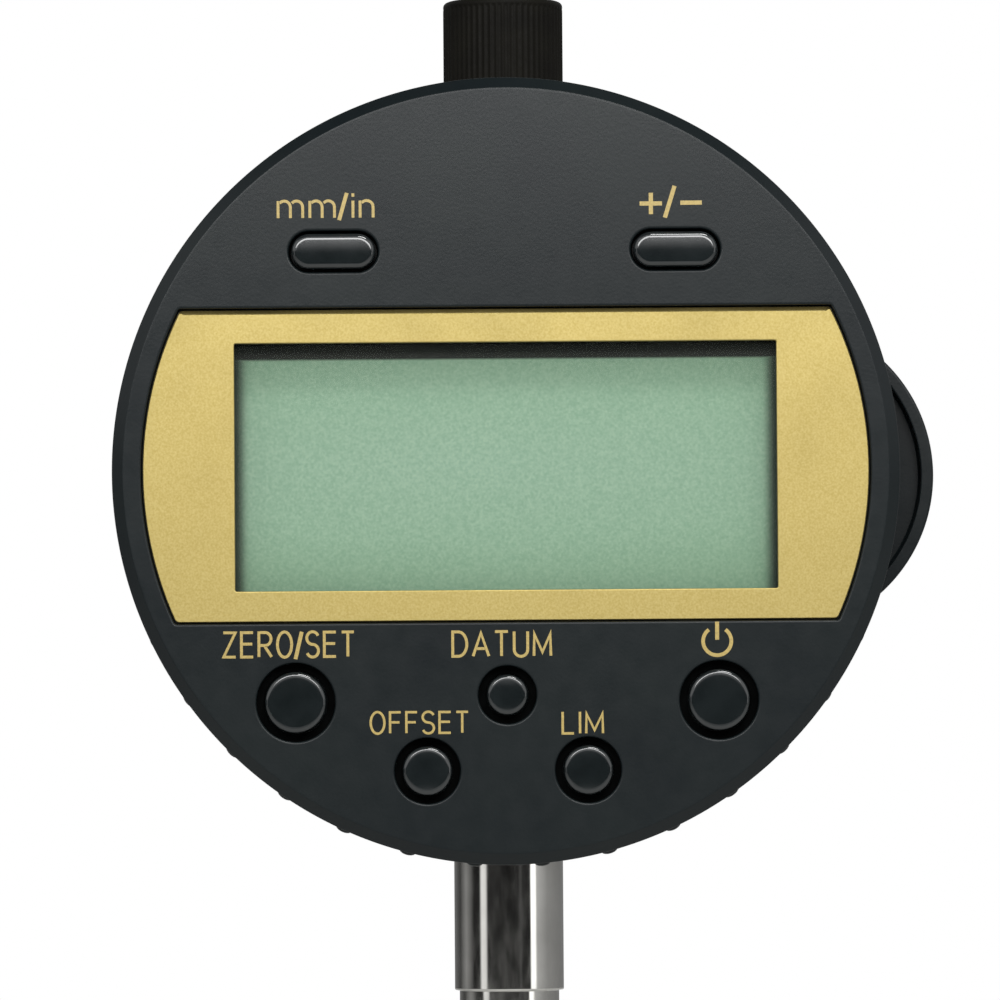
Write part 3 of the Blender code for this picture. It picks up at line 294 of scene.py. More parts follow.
# %% The recipe of a finish
def finish(name, colours, drift=5.0, rough=(0.4, 0.5), wander=1.2, relief=0.0, grain=0.2, along=(1, 1, 1), **sockets):
    """A Principled material: colour drifts between two over `drift` mm, roughness wanders between two values over
    `wander` mm, and bumps `relief` mm tall lie `grain` mm apart, drawn out where `along` is below one."""
    made = bpy.data.materials.new(name)
    made.use_nodes = True
    tree = made.node_tree
    shader = tree.nodes["Principled BSDF"]
    for key, value in sockets.items():
        shader.inputs[key.replace("_", " ")].default_value = value
    coords = node(tree, "TexCoord")
    place = node(tree, "Mapping", {"Scale": along}, Vector=(coords, "Object"))
    patches = node(tree, "TexNoise", {"Scale": 1 / (drift * MM), "Detail": 3.0}, Vector=(coords, "Object"))
    colour = node(tree, "ValToRGB", {"stops": [(0.32, colours[0]), (0.68, colours[1])]}, Fac=(patches, "Fac"))
    tree.links.new(colour.outputs["Color"], shader.inputs["Base Color"])
    polish = node(tree, "TexNoise", {"Scale": 1 / (wander * MM), "Detail": 3.0}, Vector=(place, "Vector"))
    gloss = node(tree, "MapRange", {"From Min": 0.25, "From Max": 0.75, "To Min": rough[0], "To Max": rough[1]},
                 Value=(polish, "Fac"))
    tree.links.new(gloss.outputs[0], shader.inputs["Roughness"])
    if relief:
        bumps = node(tree, "TexNoise", {"Scale": 1 / (grain * MM), "Detail": 2.0}, Vector=(place, "Vector"))
        raised = node(tree, "Bump", {"Strength": 1.0, "Distance": relief * MM}, Height=(bumps, "Fac"))
        tree.links.new(raised.outputs[0], shader.inputs["Normal"])
    return made


# %% [markdown]
# ### Black plastics
# The case is injection-moulded ABS from a spark-eroded mould: a very fine, even grain that spreads the light into a
# soft sheen. The keys are moulded from the same black in a polished mould, so they mirror the lamps. The insides of
# their wells are rough and painted near-black as painted shade. The cap is duller than the case, because it is ribbed
# and handled.

# %% Moulded plastics
case_abs = finish("moulded_abs_spark_eroded", ("#0c1113", "#101516"), 9.0, (0.28, 0.35), 1.6, 0.005, 0.22, IOR=1.5,
                  Specular_IOR_Level=0.16)
key_abs = finish("moulded_abs_polished", ("#0e1213", "#141819"), 2.0, (0.10, 0.17), 0.9, 0.003, 1.1, IOR=1.5,
                 Specular_IOR_Level=0.10, Coat_Weight=1.0, Coat_Roughness=0.07)
# painted shade: the wells' insides are near-black to stand in for the shade that falls in them
well_painted_shade = finish("abs_with_painted_shade_in_wells", ("#020303", "#040505"), 1.0, (0.8, 0.95), 0.5, 0.01, 0.1, IOR=1.5,
                  Specular_IOR_Level=0.05)
cap_abs = finish("moulded_abs_ribbed", ("#080705", "#0d0c08"), 2.5, (0.5, 0.62), 0.5, 0.005, 0.15, IOR=1.5,
                 Specular_IOR_Level=0.06)
seal_rubber = finish("nitrile_rubber", ("#121212", "#191918"), 2.0, (0.65, 0.85), 0.4, 0.006, 0.12)
print("plastics:", case_abs.name, key_abs.name, cap_abs.name, seal_rubber.name)

# %% [markdown]
# ### Gold plate, steel and paint
# The bezel plate is thin aluminium, blasted fine and anodised gold: the blasting leaves pits about a tenth of a
# millimetre across, drawn a little coarser here so that they show, and they spread its reflections evenly. The stem is
# ground and polished stainless steel, close to a mirror with faint waves. The housing is a zinc die casting under
# black paint, whose surface has the slight ripple called orange peel. Turned steel keeps the fine rings of the
# lathe, so its grain is drawn out round the axis.

# %% Metals and paint
bezel_gold = finish("gold_anodised_aluminium_blasted", ("#8c7d4a", "#978958"), 0.16, (0.46, 0.56), 5.0, 0.004, 0.14,
                    Metallic=1.0)
polished_steel = finish("ground_and_polished_steel", ("#b2b1ad", "#bfbeba"), 3.0, (0.05, 0.13), 0.8, 0.002, 1.8,
                        (1, 1, 0.3), Metallic=1.0)
turned_steel = finish("fine_turned_steel", ("#858481", "#979693"), 1.0, (0.22, 0.34), 0.5, 0.004, 0.14,
                      (0.15, 0.15, 1), Metallic=1.0)
sprung_steel = finish("drawn_spring_steel", ("#73726f", "#858482"), 1.0, (0.25, 0.40), 0.3, Metallic=1.0)
nickel = finish("nickel_plated_steel", ("#b4b1a8", "#c9c6bd"), 3.0, (0.18, 0.30), 0.6, 0.003, 0.8, Metallic=1.0)
bush_bronze = finish("sintered_bronze", ("#8a6238", "#b98a50"), 0.12, (0.35, 0.55), 0.12, 0.004, 0.12, Metallic=1.0)
cast_paint = finish("painted_zinc_casting", ("#1c1f21", "#232628"), 6.0, (0.30, 0.42), 1.2, 0.010, 0.7, IOR=1.5,
                    Specular_IOR_Level=0.4)
print("metals:", bezel_gold.name, polished_steel.name, nickel.name, cast_paint.name)

# %% [markdown]
# ### Display, window and electronics
# The display is a reflective liquid crystal panel: two sheets of glass over a dull grey-green reflector, with a fine
# even speckle. It is blank, as it is when the gauge is off. Along the top its colour is painted black in a band that is
# partly the seal's border and partly painted shadow of the bezel's edge; at both sides a soft painted shade stands for
# the walls of the opening, and the colour is darkened a little towards the corners. The window in front of
# it is clear acrylic, which mostly lets the panel show. The boards carry a green solder mask over copper tracks.

# %% Display panel
reflector = finish("reflective_lcd_polariser", ("#728f7a", "#829b86"), 0.20, (0.34, 0.44), 1.0, 0.002, 0.22, IOR=1.5,
                   Specular_IOR_Level=0.1)
tree = reflector.node_tree
shader, coords = tree.nodes["Principled BSDF"], next(n for n in tree.nodes if n.type == "TEX_COORD")
speckle = next(n for n in tree.nodes if n.type == "VALTORGB")
FADE_WIDTH, FADE_HEIGHT = 56.0, 12.0  # how far the colour darkens away from the middle, right and up
panel_middle = node(tree, "Mapping", {"Location": (0.05, 0, -(DIAL + 0.5) / FADE_HEIGHT),
                                      "Scale": (1 / (FADE_WIDTH * MM), 0, 1 / (FADE_HEIGHT * MM))},
                    Vector=(coords, "Object"))
away = node(tree, "VectorMath", {"operation": "LENGTH"}, _0=(panel_middle, "Vector"))
fade = node(tree, "ValToRGB", {"stops": [(0.0, "#ffffff"), (0.45, "#f8fbf7"), (0.95, "#dbe6d8")]}, Fac=(away, "Value"))
faded = node(tree, "Mix", {"data_type": "RGBA", "blend_type": "MULTIPLY"}, _6=(speckle, "Color"), _7=(fade, "Color"))
faded.inputs[0].default_value = 1.0
axes = node(tree, "SeparateXYZ", Vector=(coords, "Object"))
BORDER = (DIAL + 8.02) * MM  # lower edge of the black band along the top: partly the seal's border, partly painted shadow of the bezel's edge
SIDE_SHADE_START, SIDE_SHADE_FULL = 18.25 * MM, 19.25 * MM  # where the painted shade at both sides begins and where it is strongest
# Painted shadow and shade: a sharp black band along the top, partly the seal's border and partly the bezel's shadow,
# and a soft painted shade at both sides for the walls of the opening
top_border_and_shadow = node(tree, "MapRange", {"From Min": BORDER - 0.07 * MM, "From Max": BORDER + 0.09 * MM}, Value=(axes, "Z"))
sideways = node(tree, "Math", {"operation": "ABSOLUTE"}, _0=(axes, "X"))
edges = node(tree, "MapRange", {"From Min": SIDE_SHADE_START, "From Max": SIDE_SHADE_FULL, "To Max": 0.92,
                                "interpolation_type": "SMOOTHSTEP"}, Value=(sideways, 0))
border_and_painted_shade = node(tree, "Math", {"operation": "MAXIMUM"}, _0=(top_border_and_shadow, 0), _1=(edges, 0))
painted_border_and_shade_mix = node(tree, "Mix", {"data_type": "RGBA"}, _0=(border_and_painted_shade, 0), _6=(faded, 2))
# the colour of the black border and of the painted shade
painted_border_and_shade_mix.inputs[7].default_value = linear("#0a0b06")
tree.links.new(painted_border_and_shade_mix.outputs[2], shader.inputs["Base Color"])
print("reflector:", len(tree.nodes), "nodes")

# %% Window, boards and ink
acrylic = finish("clear_acrylic", ("#4a504b", "#525852"), 8.0, (0.03, 0.07), 2.0, IOR=1.49, Alpha=0.08)
mask = finish("green_solder_mask", ("#0f4a25", "#125a2c"), 3.0, (0.25, 0.4), 0.8, IOR=1.5)
tree = mask.node_tree
coords = next(n for n in tree.nodes if n.type == "TEX_COORD")
tracks = node(tree, "TexBrick", {"Scale": 1 / (3.0 * MM), "Mortar Size": 0.03, "Brick Width": 1.1, "Row Height": 0.37,
                                 "Color1": linear("#0f4a25"), "Color2": linear("#125a2c"),
                                 "Mortar": linear("#2f7a3c")}, Vector=(coords, "Object"))
tree.links.new(tracks.outputs["Color"], tree.nodes["Principled BSDF"].inputs["Base Color"])
epoxy = finish("moulded_epoxy", ("#141417", "#1b1b1e"), 1.0, (0.45, 0.6), 0.1, 0.003, 0.1)
film = finish("polyimide_film", ("#a8641c", "#c27a26"), 1.0, (0.25, 0.4), 0.5, IOR=1.7)
ink = finish("gold_screen_print_ink", ("#827039", "#937f42"), 0.15, (0.4, 0.5), 0.5)
print("display and boards:", reflector.name, acrylic.name, mask.name, epoxy.name, film.name, ink.name)

# %% [markdown]
# ## Front case
# The real case is one moulding: a round face with a narrow chamfer, a grip of low ribs round the rear half of its
# side so that fingers can turn the display, a sunk pocket for the gold plate, a window opening, and a shallow well
# round each key. Behind its front wall stand a cradle for the display panel and four posts for the back plate's
# screws. Each well is a profile carried along its key's outline: over a rounded lip, down the wall, across the floor
# and on through the case. The face is then the flat sheet left between all the lips.


# %% Sizes of the keys and wells
# name: x, height, half length of the straight part, key radius, well radius
KEYS = {
    "units": (-12.15, 15.6, 1.72, 1.25, 1.46),
    "sign": (12.15, 15.6, 1.72, 1.25, 1.46),
    "zero": (-15.0, -16.4, 0, 2.17, 2.79),
    "power": (15.0, -16.4, 0, 2.17, 2.79),
    "origin": (0, -15.95, 0, 1.44, 2.06),
    "preset": (-5.7, -21.3, 0, 1.74, 2.33),
    "tolerance": (5.7, -21.3, 0, 1.74, 2.33),
}
CHAMFER, SOFT = 0.8, 0.1  # width of the case's front chamfer, and the radius that its two edges keep
WELL_DEPTH, LIP = 1.2, 0.16  # a well's depth, and the radius of its lip
PLATE_RADIUS, PLATE_TOP, PLATE_BOTTOM = 25.9, 11.6, -10.8  # the pocket that the gold plate lies in
OPEN_WIDTH, OPEN_TOP, OPEN_BOTTOM = 38.5, 9.1, -8.5  # the opening in the gold plate
POCKET = barrel(PLATE_RADIUS, PLATE_TOP, PLATE_BOTTOM)
POCKET_FLOOR = FACE - 0.8
WALL = 1.6
CEILING = FACE - WALL  # the inside of the front wall
WINDOW = oblong(OPEN_WIDTH + 0.6, OPEN_TOP + 0.3, OPEN_BOTTOM - 0.3, corner=0.3)
print(len(KEYS), "keys; pocket floor", round(FACE - POCKET_FLOOR, 2), "mm deep")


# %% The case's side, with its grip
GRIP_BACK, GRIP_FRONT = CASE_BACK + 0.6, CASE_BACK + 3.2
RIBS, RIB_HALF_WIDTH, RIB_HEIGHT, RIB_END = 36, 0.62, 0.30, 0.4
COLUMNS = 30 * RIBS  # enough columns round the case for each rib to look round


def grip(angle, height):
    """How far the ribs stand out: round-topped ribs, (1 − t²)^½ across each, faded out at both ends."""
    pitch = 2 * np.pi / RIBS
    off = (angle / pitch) % 1.0 - 0.5  # a rib is half a pitch away from straight down
    across = np.sqrt(np.clip(1 - (off * pitch * FACE_RADIUS / RIB_HALF_WIDTH) ** 2, 0, 1))
    ends = np.clip((GRIP_FRONT - height) / RIB_END, 0, 1) * np.clip((height - GRIP_BACK) / RIB_END, 0, 1)
    return RIB_HEIGHT * across * np.sqrt(ends * (2 - ends))


round_path = ring(COLUMNS)
angles = np.linspace(0, 2 * np.pi, COLUMNS, endpoint=False)
slack = SOFT * np.tan(np.radians(22.5))  # what a rounded 45-degree edge takes from each of its two faces
side = [(FACE_RADIUS - CHAMFER - slack - 0.1, FACE),
        *bend(FACE_RADIUS - CHAMFER - slack, FACE - SOFT, SOFT, 90, 45, 3),
        *bend(FACE_RADIUS - SOFT, FACE - CHAMFER - slack, SOFT, 45, 0, 3)]
for height in [GRIP_FRONT + 0.1, *np.linspace(GRIP_FRONT, GRIP_FRONT - RIB_END, 5),
               *np.linspace(GRIP_BACK + RIB_END, GRIP_BACK, 5), GRIP_BACK - 0.1]:
    side.append((FACE_RADIUS + grip(angles, height), height))
inside = FACE_RADIUS - WALL
side += bend(FACE_RADIUS - 0.2, CASE_BACK + 0.2, 0.2, 0, -90, 3)
side += [(inside + 0.1, CASE_BACK), (inside, CASE_BACK + 0.1), (inside, CEILING - 0.3)]
side += bend(inside - 0.3, CEILING - 0.3, 0.3, 0, 90, 3) + [(inside - 0.4, CEILING)]
case_patches = [carried(round_path, side)]
face_loops = [at_offset(round_path, side[0][0])]
ceiling_loops = [at_offset(round_path, inside - 0.4)]
print("grip:", RIBS, "ribs,", len(side), "rows round the side")

# %% Wells, pocket and window opening
KEY_GAP = 0.1  # round a key's plunger where it passes through the case
for x, y, half, radius, well in KEYS.values():
    path = pill(half, x=x, y=y)
    floor, hole = FACE - WELL_DEPTH, radius + KEY_GAP
    profile = [(well + LIP + 0.05, FACE), *bend(well + LIP, FACE - LIP, LIP, 90, 180, 5)]
    profile += [(well, floor + 0.1), (well - 0.03, floor + 0.03), (well - 0.1, floor)]
    profile += [(hole + 0.06, floor), (hole, floor - 0.06), (hole, CEILING + 0.05), (hole + 0.05, CEILING)]
    case_patches.append(carried(path, profile))
    face_loops.append(at_offset(path, profile[0][0]))
    ceiling_loops.append(at_offset(path, profile[-1][0]))
lip = [(0.19, FACE), *bend(0.14, FACE - 0.14, 0.14, 90, 180, 5), (0, POCKET_FLOOR + 0.05), (-0.05, POCKET_FLOOR)]
case_patches.append(carried(POCKET, lip))
face_loops.append(at_offset(POCKET, 0.19))
case_patches.append(panel(POCKET_FLOOR, at_offset(POCKET, -0.05), WINDOW[0]))
case_patches.append(carried(WINDOW, [(0, POCKET_FLOOR), (0, CEILING)]))

# %% Display cradle and screw posts behind the front wall
CRADLE_WALL, POST_RADIUS, POST_BORE = 0.9, 1.6, 0.9
lcd_low, lcd_high = size_of("lcd_panel")
cradle = oblong(lcd_high[0] - lcd_low[0] + 0.6, lcd_high[2] - DIAL + 0.3, lcd_low[2] - DIAL - 0.3)
cradle_back = -size_of("display_board")[0][1] + 0.3
case_patches.append(carried(cradle, [(CRADLE_WALL, CEILING), (CRADLE_WALL, cradle_back), (0, cradle_back),
                                     (0, CEILING)]))
case_patches.append(panel(CEILING, cradle[0], WINDOW[0]))
ceiling_loops.append(at_offset(cradle, CRADLE_WALL))
post_foot, bore_end = 0.1 - size_of("display_back_plate")[0][1], CEILING - 1.0
for number in range(1, 5):
    low, high = size_of(f"display_screw_{number}")
    post = pill(0, x=(low[0] + high[0]) / 2, y=(low[2] + high[2]) / 2 - DIAL)
    case_patches.append(carried(post, [(POST_RADIUS, CEILING), (POST_RADIUS, post_foot), (POST_BORE, post_foot),
                                       (POST_BORE, bore_end), (0, bore_end)]))
    ceiling_loops.append(at_offset(post, POST_RADIUS))
case_patches += [panel(FACE, *face_loops), panel(CEILING, *ceiling_loops)]
front_case = piece("front_case_moulding", case_patches, case_abs, "display_unit", "front_case")

# %% The wells' insides get the near-black finish of painted shade
front_case.data.materials.append(well_painted_shade)
faces = front_case.data.polygons
middles = np.empty(3 * len(faces))
faces.foreach_get("center", middles)
right, depth, up = middles.reshape(-1, 3).T / MM
in_well = np.zeros(len(faces), bool)
for x, y, half, _, well in KEYS.values():
    in_well |= np.hypot(np.maximum(abs(right - x) - half, 0), up - DIAL - y) < well + 0.02
in_well &= -depth < FACE - LIP
faces.foreach_set("material_index", in_well.astype(np.int32))
print(in_well.sum(), "faces inside the wells")

# %% [markdown]
# ## Gold bezel plate
# A thin stamped plate lies in the pocket and frames the display. It is a closed sheet: the two faces are panels
# between the outer outline and the window's outline. Its outer edge is chamfered, widest along the top, where
# the slant leans towards the dark ceiling and shows as a brown line. The edge round the display has a hairline radius.


# %% Bezel plate
plate_low, plate_high = size_of("bezel_plate")
front, back, hair = -plate_low[1], -plate_high[1], 0.06
GAP, INSET = 0.12, -0.35  # between plate and pocket, and from the edge to where the flat front begins
outer = barrel(PLATE_RADIUS - GAP, PLATE_TOP - GAP, PLATE_BOTTOM + GAP, corner=0.38)
hole = oblong(OPEN_WIDTH, OPEN_TOP, OPEN_BOTTOM)
slant = 0.06 + 0.26 * np.clip(outer[1][:, 1], 0, 1) ** 3  # the chamfer is widest where the edge faces up
rim = [(-slant, front), (0, front - 0.85 * slant), (0, back)]
opening = [(hair, front), *bend(hair, front - hair, hair, 90, 180, 3), (0, back)]
bezel = piece("gold_bezel_plate", [
    carried(outer, [(INSET, front), *rim]),
    carried(hole, [(hair + 0.05, front), *opening]),
    panel(front, at_offset(outer, INSET), at_offset(hole, hair + 0.05)),
    panel(back, outer[0], hole[0]),
], bezel_gold, "display_unit", "bezel_plate")

# %% [markdown]
# ## Keys
# Each key is a moulded plunger. Its side is straight, then a small corner radius turns into a top that is almost flat,
# a shallow parabola. The corner is what puts the bright crescent on each key, and the two long keys have a larger
# one, so their light is a bar. A long key is the same profile carried along a slot: at offset nought both sides meet
# on its centre line and weld there.

# %% Keys with rounded edges and shallow domes
key_low, key_high = size_of("zero_button")
KEY_TOP, KEY_FOOT = -key_low[1], -key_high[1]
for name, (x, y, half, radius, _) in KEYS.items():
    corner, dome = (0.38, 0.02) if half else (0.30, 0.03)  # corner radius, and rise of the dome over the top
    lean = 2 * dome / (radius - corner)  # the parabola's slope where the corner hands over to it
    span = radius - corner + corner * np.sin(np.arctan(lean))
    rise = lean * span / 2
    arc_top = KEY_TOP - rise
    centre_height = arc_top - corner * np.cos(np.arctan(lean))
    turn = np.linspace(0, np.pi / 2 - np.arctan(lean), 9)
    edge = list(zip(radius - corner + corner * np.cos(turn), centre_height + corner * np.sin(turn)))
    across = np.linspace(span, 0, 12)[1:]
    top = list(zip(across, KEY_TOP - rise * (across / span) ** 2))
    flange, flange_back, flange_front = radius + 0.9, CEILING - 0.8, CEILING - 0.1  # keeps the key in the case
    profile = [(0, KEY_FOOT), (radius, KEY_FOOT), (radius, flange_back), (flange, flange_back),
               (flange, flange_front), (radius, flange_front), *edge, *top]
    key = piece(f"{name}_key_cap", [carried(pill(half, step=0.08, x=x, y=y), profile)], key_abs, f"{name}_key",
                f"{name}_button")

# %% [markdown]
# ## Printed legends
# The words are screen-printed in gold ink, a few hundredths of a millimetre thick. Blender's own lettering is wider and
# softer than the narrow, even-stroked lettering of instruments, so the few letters needed are drawn here: each one is
# a handful of centre lines on a unit square, given a width to either side. The word is then fitted between two
# places on the face.


# %% Strokes with an even width
INK_TOP, INK_FOOT = FACE + 0.012, FACE - 0.018


def stroke(points, width, closed=False):
    """A printed line: each point moves half a width along its mitre, (n1 + n2) / (1 + n1·n2), to either side, where
    n1 and n2 are the normals of the two pieces of line that meet there. The outer side of a sharp turn is cut short."""
    points = np.asarray(points, float)
    runs = np.roll(points, -1, 0) - points if closed else np.diff(points, axis=0)
    normal = np.stack([-runs[:, 1], runs[:, 0]], 1) / np.hypot(*runs.T)[:, None]
    before = np.roll(normal, 1, 0) if closed else np.concatenate([normal[:1], normal])
    after = normal if closed else np.concatenate([normal, normal[-1:]])
    mitre = (before + after) / np.maximum(1 + (before * after).sum(1), 0.04)[:, None]
    short = mitre * np.minimum(1, 1.5 / np.hypot(*mitre.T))[:, None]
    turn = (before[:, 0] * after[:, 1] - before[:, 1] * after[:, 0])[:, None]
    left = points + np.where(turn > 0, mitre, short) * width / 2
    right = points - np.where(turn < 0, mitre, short) * width / 2
    loops = [left, right] if closed else [np.concatenate([left, right[::-1]])]
    if closed and np.ptp(left[:, 0]) < np.ptp(right[:, 0]):
        loops.reverse()
    walls = [grid(np.stack([on_dial(loop[:, 0], loop[:, 1], np.full(len(loop), h)) for h in (INK_TOP, INK_FOOT)]))
             for loop in loops]
    return [*walls, panel(INK_TOP, *loops), panel(INK_FOOT, *loops)]


def sweep(x, y, across, up, start, end, count=12):
    """Points on an ellipse, (x + across × cos a, y + up × sin a), from one angle to another in degrees."""
    angle = np.radians(np.linspace(start, end, count + 1))
    return list(zip(x + across * np.cos(angle), y + up * np.sin(angle)))


# %% The letters
T = 0.104  # stroke width for capitals one unit high
X = 0.70  # height of small letters


def arch(x, width):
    """The round shoulder and right leg of a small n: part of an ellipse, then straight down to the base line."""
    return [*sweep(x + width / 2, X - 0.26, width / 2, 0.26, 138, 0, 9), (x + width, 0)]


# letter: width, then its centre lines; a line in a pair with True is a closed loop
LETTERS = {
    "A": (0.56, [[(0, 0), (0.28, 1), (0.56, 0)], [(0.14, 0.31), (0.42, 0.31)]]),
    "D": (0.50, [([(0, 0), (0, 1), (0.2, 1), *sweep(0.2, 0.5, 0.3, 0.5, 80, -80, 14), (0.2, 0)], True)]),
    "E": (0.44, [[(0.44, 1), (0, 1), (0, 0), (0.44, 0)], [(T / 2, 0.53), (0.41, 0.53)]]),
    "F": (0.42, [[(0.42, 1), (0, 1), (0, 0)], [(T / 2, 0.52), (0.37, 0.52)]]),
    "I": (0.0, [[(0, 0), (0, 1)]]),
    "L": (0.40, [[(0, 1), (0, 0), (0.40, 0)]]),
    "M": (0.60, [[(0, 0), (0, 1), (0.3, 0.12), (0.6, 1), (0.6, 0)]]),
    "O": (0.54, [(sweep(0.27, 0.5, 0.27, 0.52, 0, 345, 23), True)]),
    "R": (0.48, [[(0, 0), (0, 1 + T / 2 - 0.004)], [(0.23, 0.47 - T / 2), (0.48, 0)],
                 [(T / 2, 1), (0.24, 1), *sweep(0.24, 0.735, 0.22, 0.265, 80, -80, 10), (0.24, 0.47), (T / 2, 0.47)]]),
    "S": (0.44, [[*sweep(0.22, 0.76, 0.22, 0.26, 22, 265, 16), *sweep(0.22, 0.24, 0.22, 0.26, 85, -158, 16)]]),
    "T": (0.46, [[(0, 1), (0.46, 1)], [(0.23, 1 - T / 2), (0.23, 0)]]),
    "U": (0.48, [[(0, 1), *sweep(0.24, 0.26, 0.24, 0.28, 180, 360, 12), (0.48, 1)]]),
    "Z": (0.46, [[(0, 1), (0.46, 1), (0, 0), (0.46, 0)]]),
    "i": (0.0, [[(0, 0), (0, X)], [(0, 0.86), (0, 1)]]),
    "m": (0.76, [[(0, 0), (0, X)], arch(0, 0.38), arch(0.38, 0.38)]),
    "n": (0.40, [[(0, 0), (0, X)], arch(0, 0.40)]),
}


def word(name, letters, left, right, base, cap):
    """A word set on a base line with even gaps, then stretched sideways to fit between two places."""
    gap, pen, lines = 0.22, 0.0, []
    for letter in letters:
        if letter == "/":
            lines.append(([(pen - 0.08, -0.1), (pen + 0.16, 1.02)], False, 1.35))
            pen += 0.13 + gap
            continue
        width, strokes = LETTERS[letter]
        for line in strokes:
            points, closed = line if isinstance(line, tuple) else (line, False)
            lines.append(([(pen + x, y) for x, y in points], closed, 1.0))
        pen += width + gap
    reach = pen - gap
    patches = []
    for points, closed, weight in lines:
        x, y = np.array(points).T
        placed = np.stack([left + (right - left) * x / reach, base + (cap - T * cap) * y + T * cap / 2], 1)
        patches += stroke(placed, T * cap * weight, closed)
    return piece(name, patches, ink, "display_unit")


# %% The words on the face
word("legend_units", "mm/in", -16.05, -9.3, 17.9, 1.93)
word("legend_zero", "ZERO/SET", -20.1, -10.85, -13.25, 1.93)
word("legend_datum", "DATUM", -3.85, 3.1, -13.3, 1.93)
word("legend_offset", "OFFSET", -9.7, -2.8, -18.7, 1.65)
word("legend_limits", "LIM", 3.9, 6.75, -18.8, 1.7)

# %% The sign and power symbols
SIGN = 0.30  # width of the sign's strokes; the plus has a bar and two short uprights, so no strokes overlap
patches = stroke([(9.63, 18.86), (11.22, 18.86)], SIGN) + stroke([(12.52, 18.9), (14.05, 18.9)], SIGN)
patches += stroke([(10.43, 19.62), (10.43, 19.01)], SIGN) + stroke([(10.43, 18.71), (10.43, 18.1)], SIGN)
patches += stroke([(11.42, 17.85), (12.12, 20.1)], SIGN)
piece("legend_plus_minus", patches, ink, "display_unit")
POWER, OPENING = (14.89, -12.25), 36  # the power ring's centre, and half its gap at the top in degrees
patches = stroke(sweep(*POWER, 1.0, 1.0, 90 + OPENING, 450 - OPENING, 40), 0.26)
patches += stroke([(POWER[0], POWER[1] + 0.1), (POWER[0], POWER[1] + 1.38)], 0.28)
piece("legend_power", patches, ink, "display_unit")

# %% [markdown]
# ## Turned pieces on the spindle's axis
# The stem, spindle, contact point and cap are all turned. A lathe leaves true circles, so each is its profile carried
# round the axis with enough columns that no flat shows. Ribs and knurls are a ripple added to the radius.


# %% Stem
stem_low, stem_high = size_of("stem")
TOP, END, STEP = stem_high[2], stem_low[2], stem_low[2] + 3.0
STEM_RADIUS, NOSE_RADIUS, STEM_BORE = 4.0, 3.65, 2.9
axis = ring(144)
profile = [(STEM_BORE, TOP), (STEM_RADIUS, TOP), *bend(STEM_RADIUS - 0.1, STEP + 0.1, 0.1, 0, -90, 4),
           (NOSE_RADIUS + 0.05, STEP), (NOSE_RADIUS, STEP - 0.05),
           *bend(NOSE_RADIUS - 0.25, END + 0.25, 0.25, 0, -90, 4),
           (STEM_BORE + 0.05, END), (STEM_BORE, END + 0.05), (STEM_BORE, TOP)]
stem = piece("clamping_stem", [carried(axis, profile, upright)], polished_steel, "body", "stem")

# %% Spindle and contact point
spindle_low, spindle_high = size_of("spindle")
LOW, HIGH = spindle_low[2], spindle_high[2]
SPINDLE_RADIUS, TAPPED_RADIUS, TAPPED_END = 2.25, 1.35, LOW + 4.6  # the contact point screws into the tapped hole
profile = [(0, HIGH), *bend(SPINDLE_RADIUS - 0.3, HIGH - 0.3, 0.3, 90, 0, 4), (SPINDLE_RADIUS, LOW + 0.15),
           (SPINDLE_RADIUS - 0.15, LOW), (TAPPED_RADIUS, LOW), (TAPPED_RADIUS, TAPPED_END), (0, TAPPED_END)]
spindle = piece("measuring_spindle", [carried(axis, profile, upright)], polished_steel, "spindle_group", "spindle")

tip_low, tip_high = size_of("contact_point")
THREAD_RADIUS, GRIP_RADIUS, GRIP_EDGE, FLUTES = 1.25, 2.5, 2.35, 36
shoulder, ball = LOW - 0.1, 1.5
ball_height = tip_low[2] + ball
round_tip = ring(8 * FLUTES)
knurl_angle = np.linspace(0, 2 * np.pi, 8 * FLUTES, endpoint=False)
knurl = GRIP_RADIUS - 0.09 * (1 - np.abs(((knurl_angle * FLUTES / (2 * np.pi)) % 1) * 2 - 1))  # triangular flutes
profile = [(0, tip_high[2]), (THREAD_RADIUS, tip_high[2]), (THREAD_RADIUS, shoulder), (2.2, shoulder),
           (GRIP_EDGE, shoulder - 0.1), (knurl, shoulder - 0.3), (knurl, shoulder - 2.1),
           (GRIP_EDGE, shoulder - 2.3), (2.2, shoulder - 2.45), (1.45, ball_height + 0.75), (1.36, ball_height + 0.62)]
profile += [(ball * np.cos(a), ball_height + ball * np.sin(a)) for a in np.radians(np.linspace(22, -90, 22))]
contact = piece("ball_contact_point", [carried(round_tip, profile, upright)], turned_steel, "spindle_group",
                "contact_point")

# %% [markdown]
# The cap over the spindle's upper end has fine straight ribs all round for unscrewing it, cut short below its rounded
# top edge. It is a shell, open below, so the profile goes up the outside, over the top and down the inside.

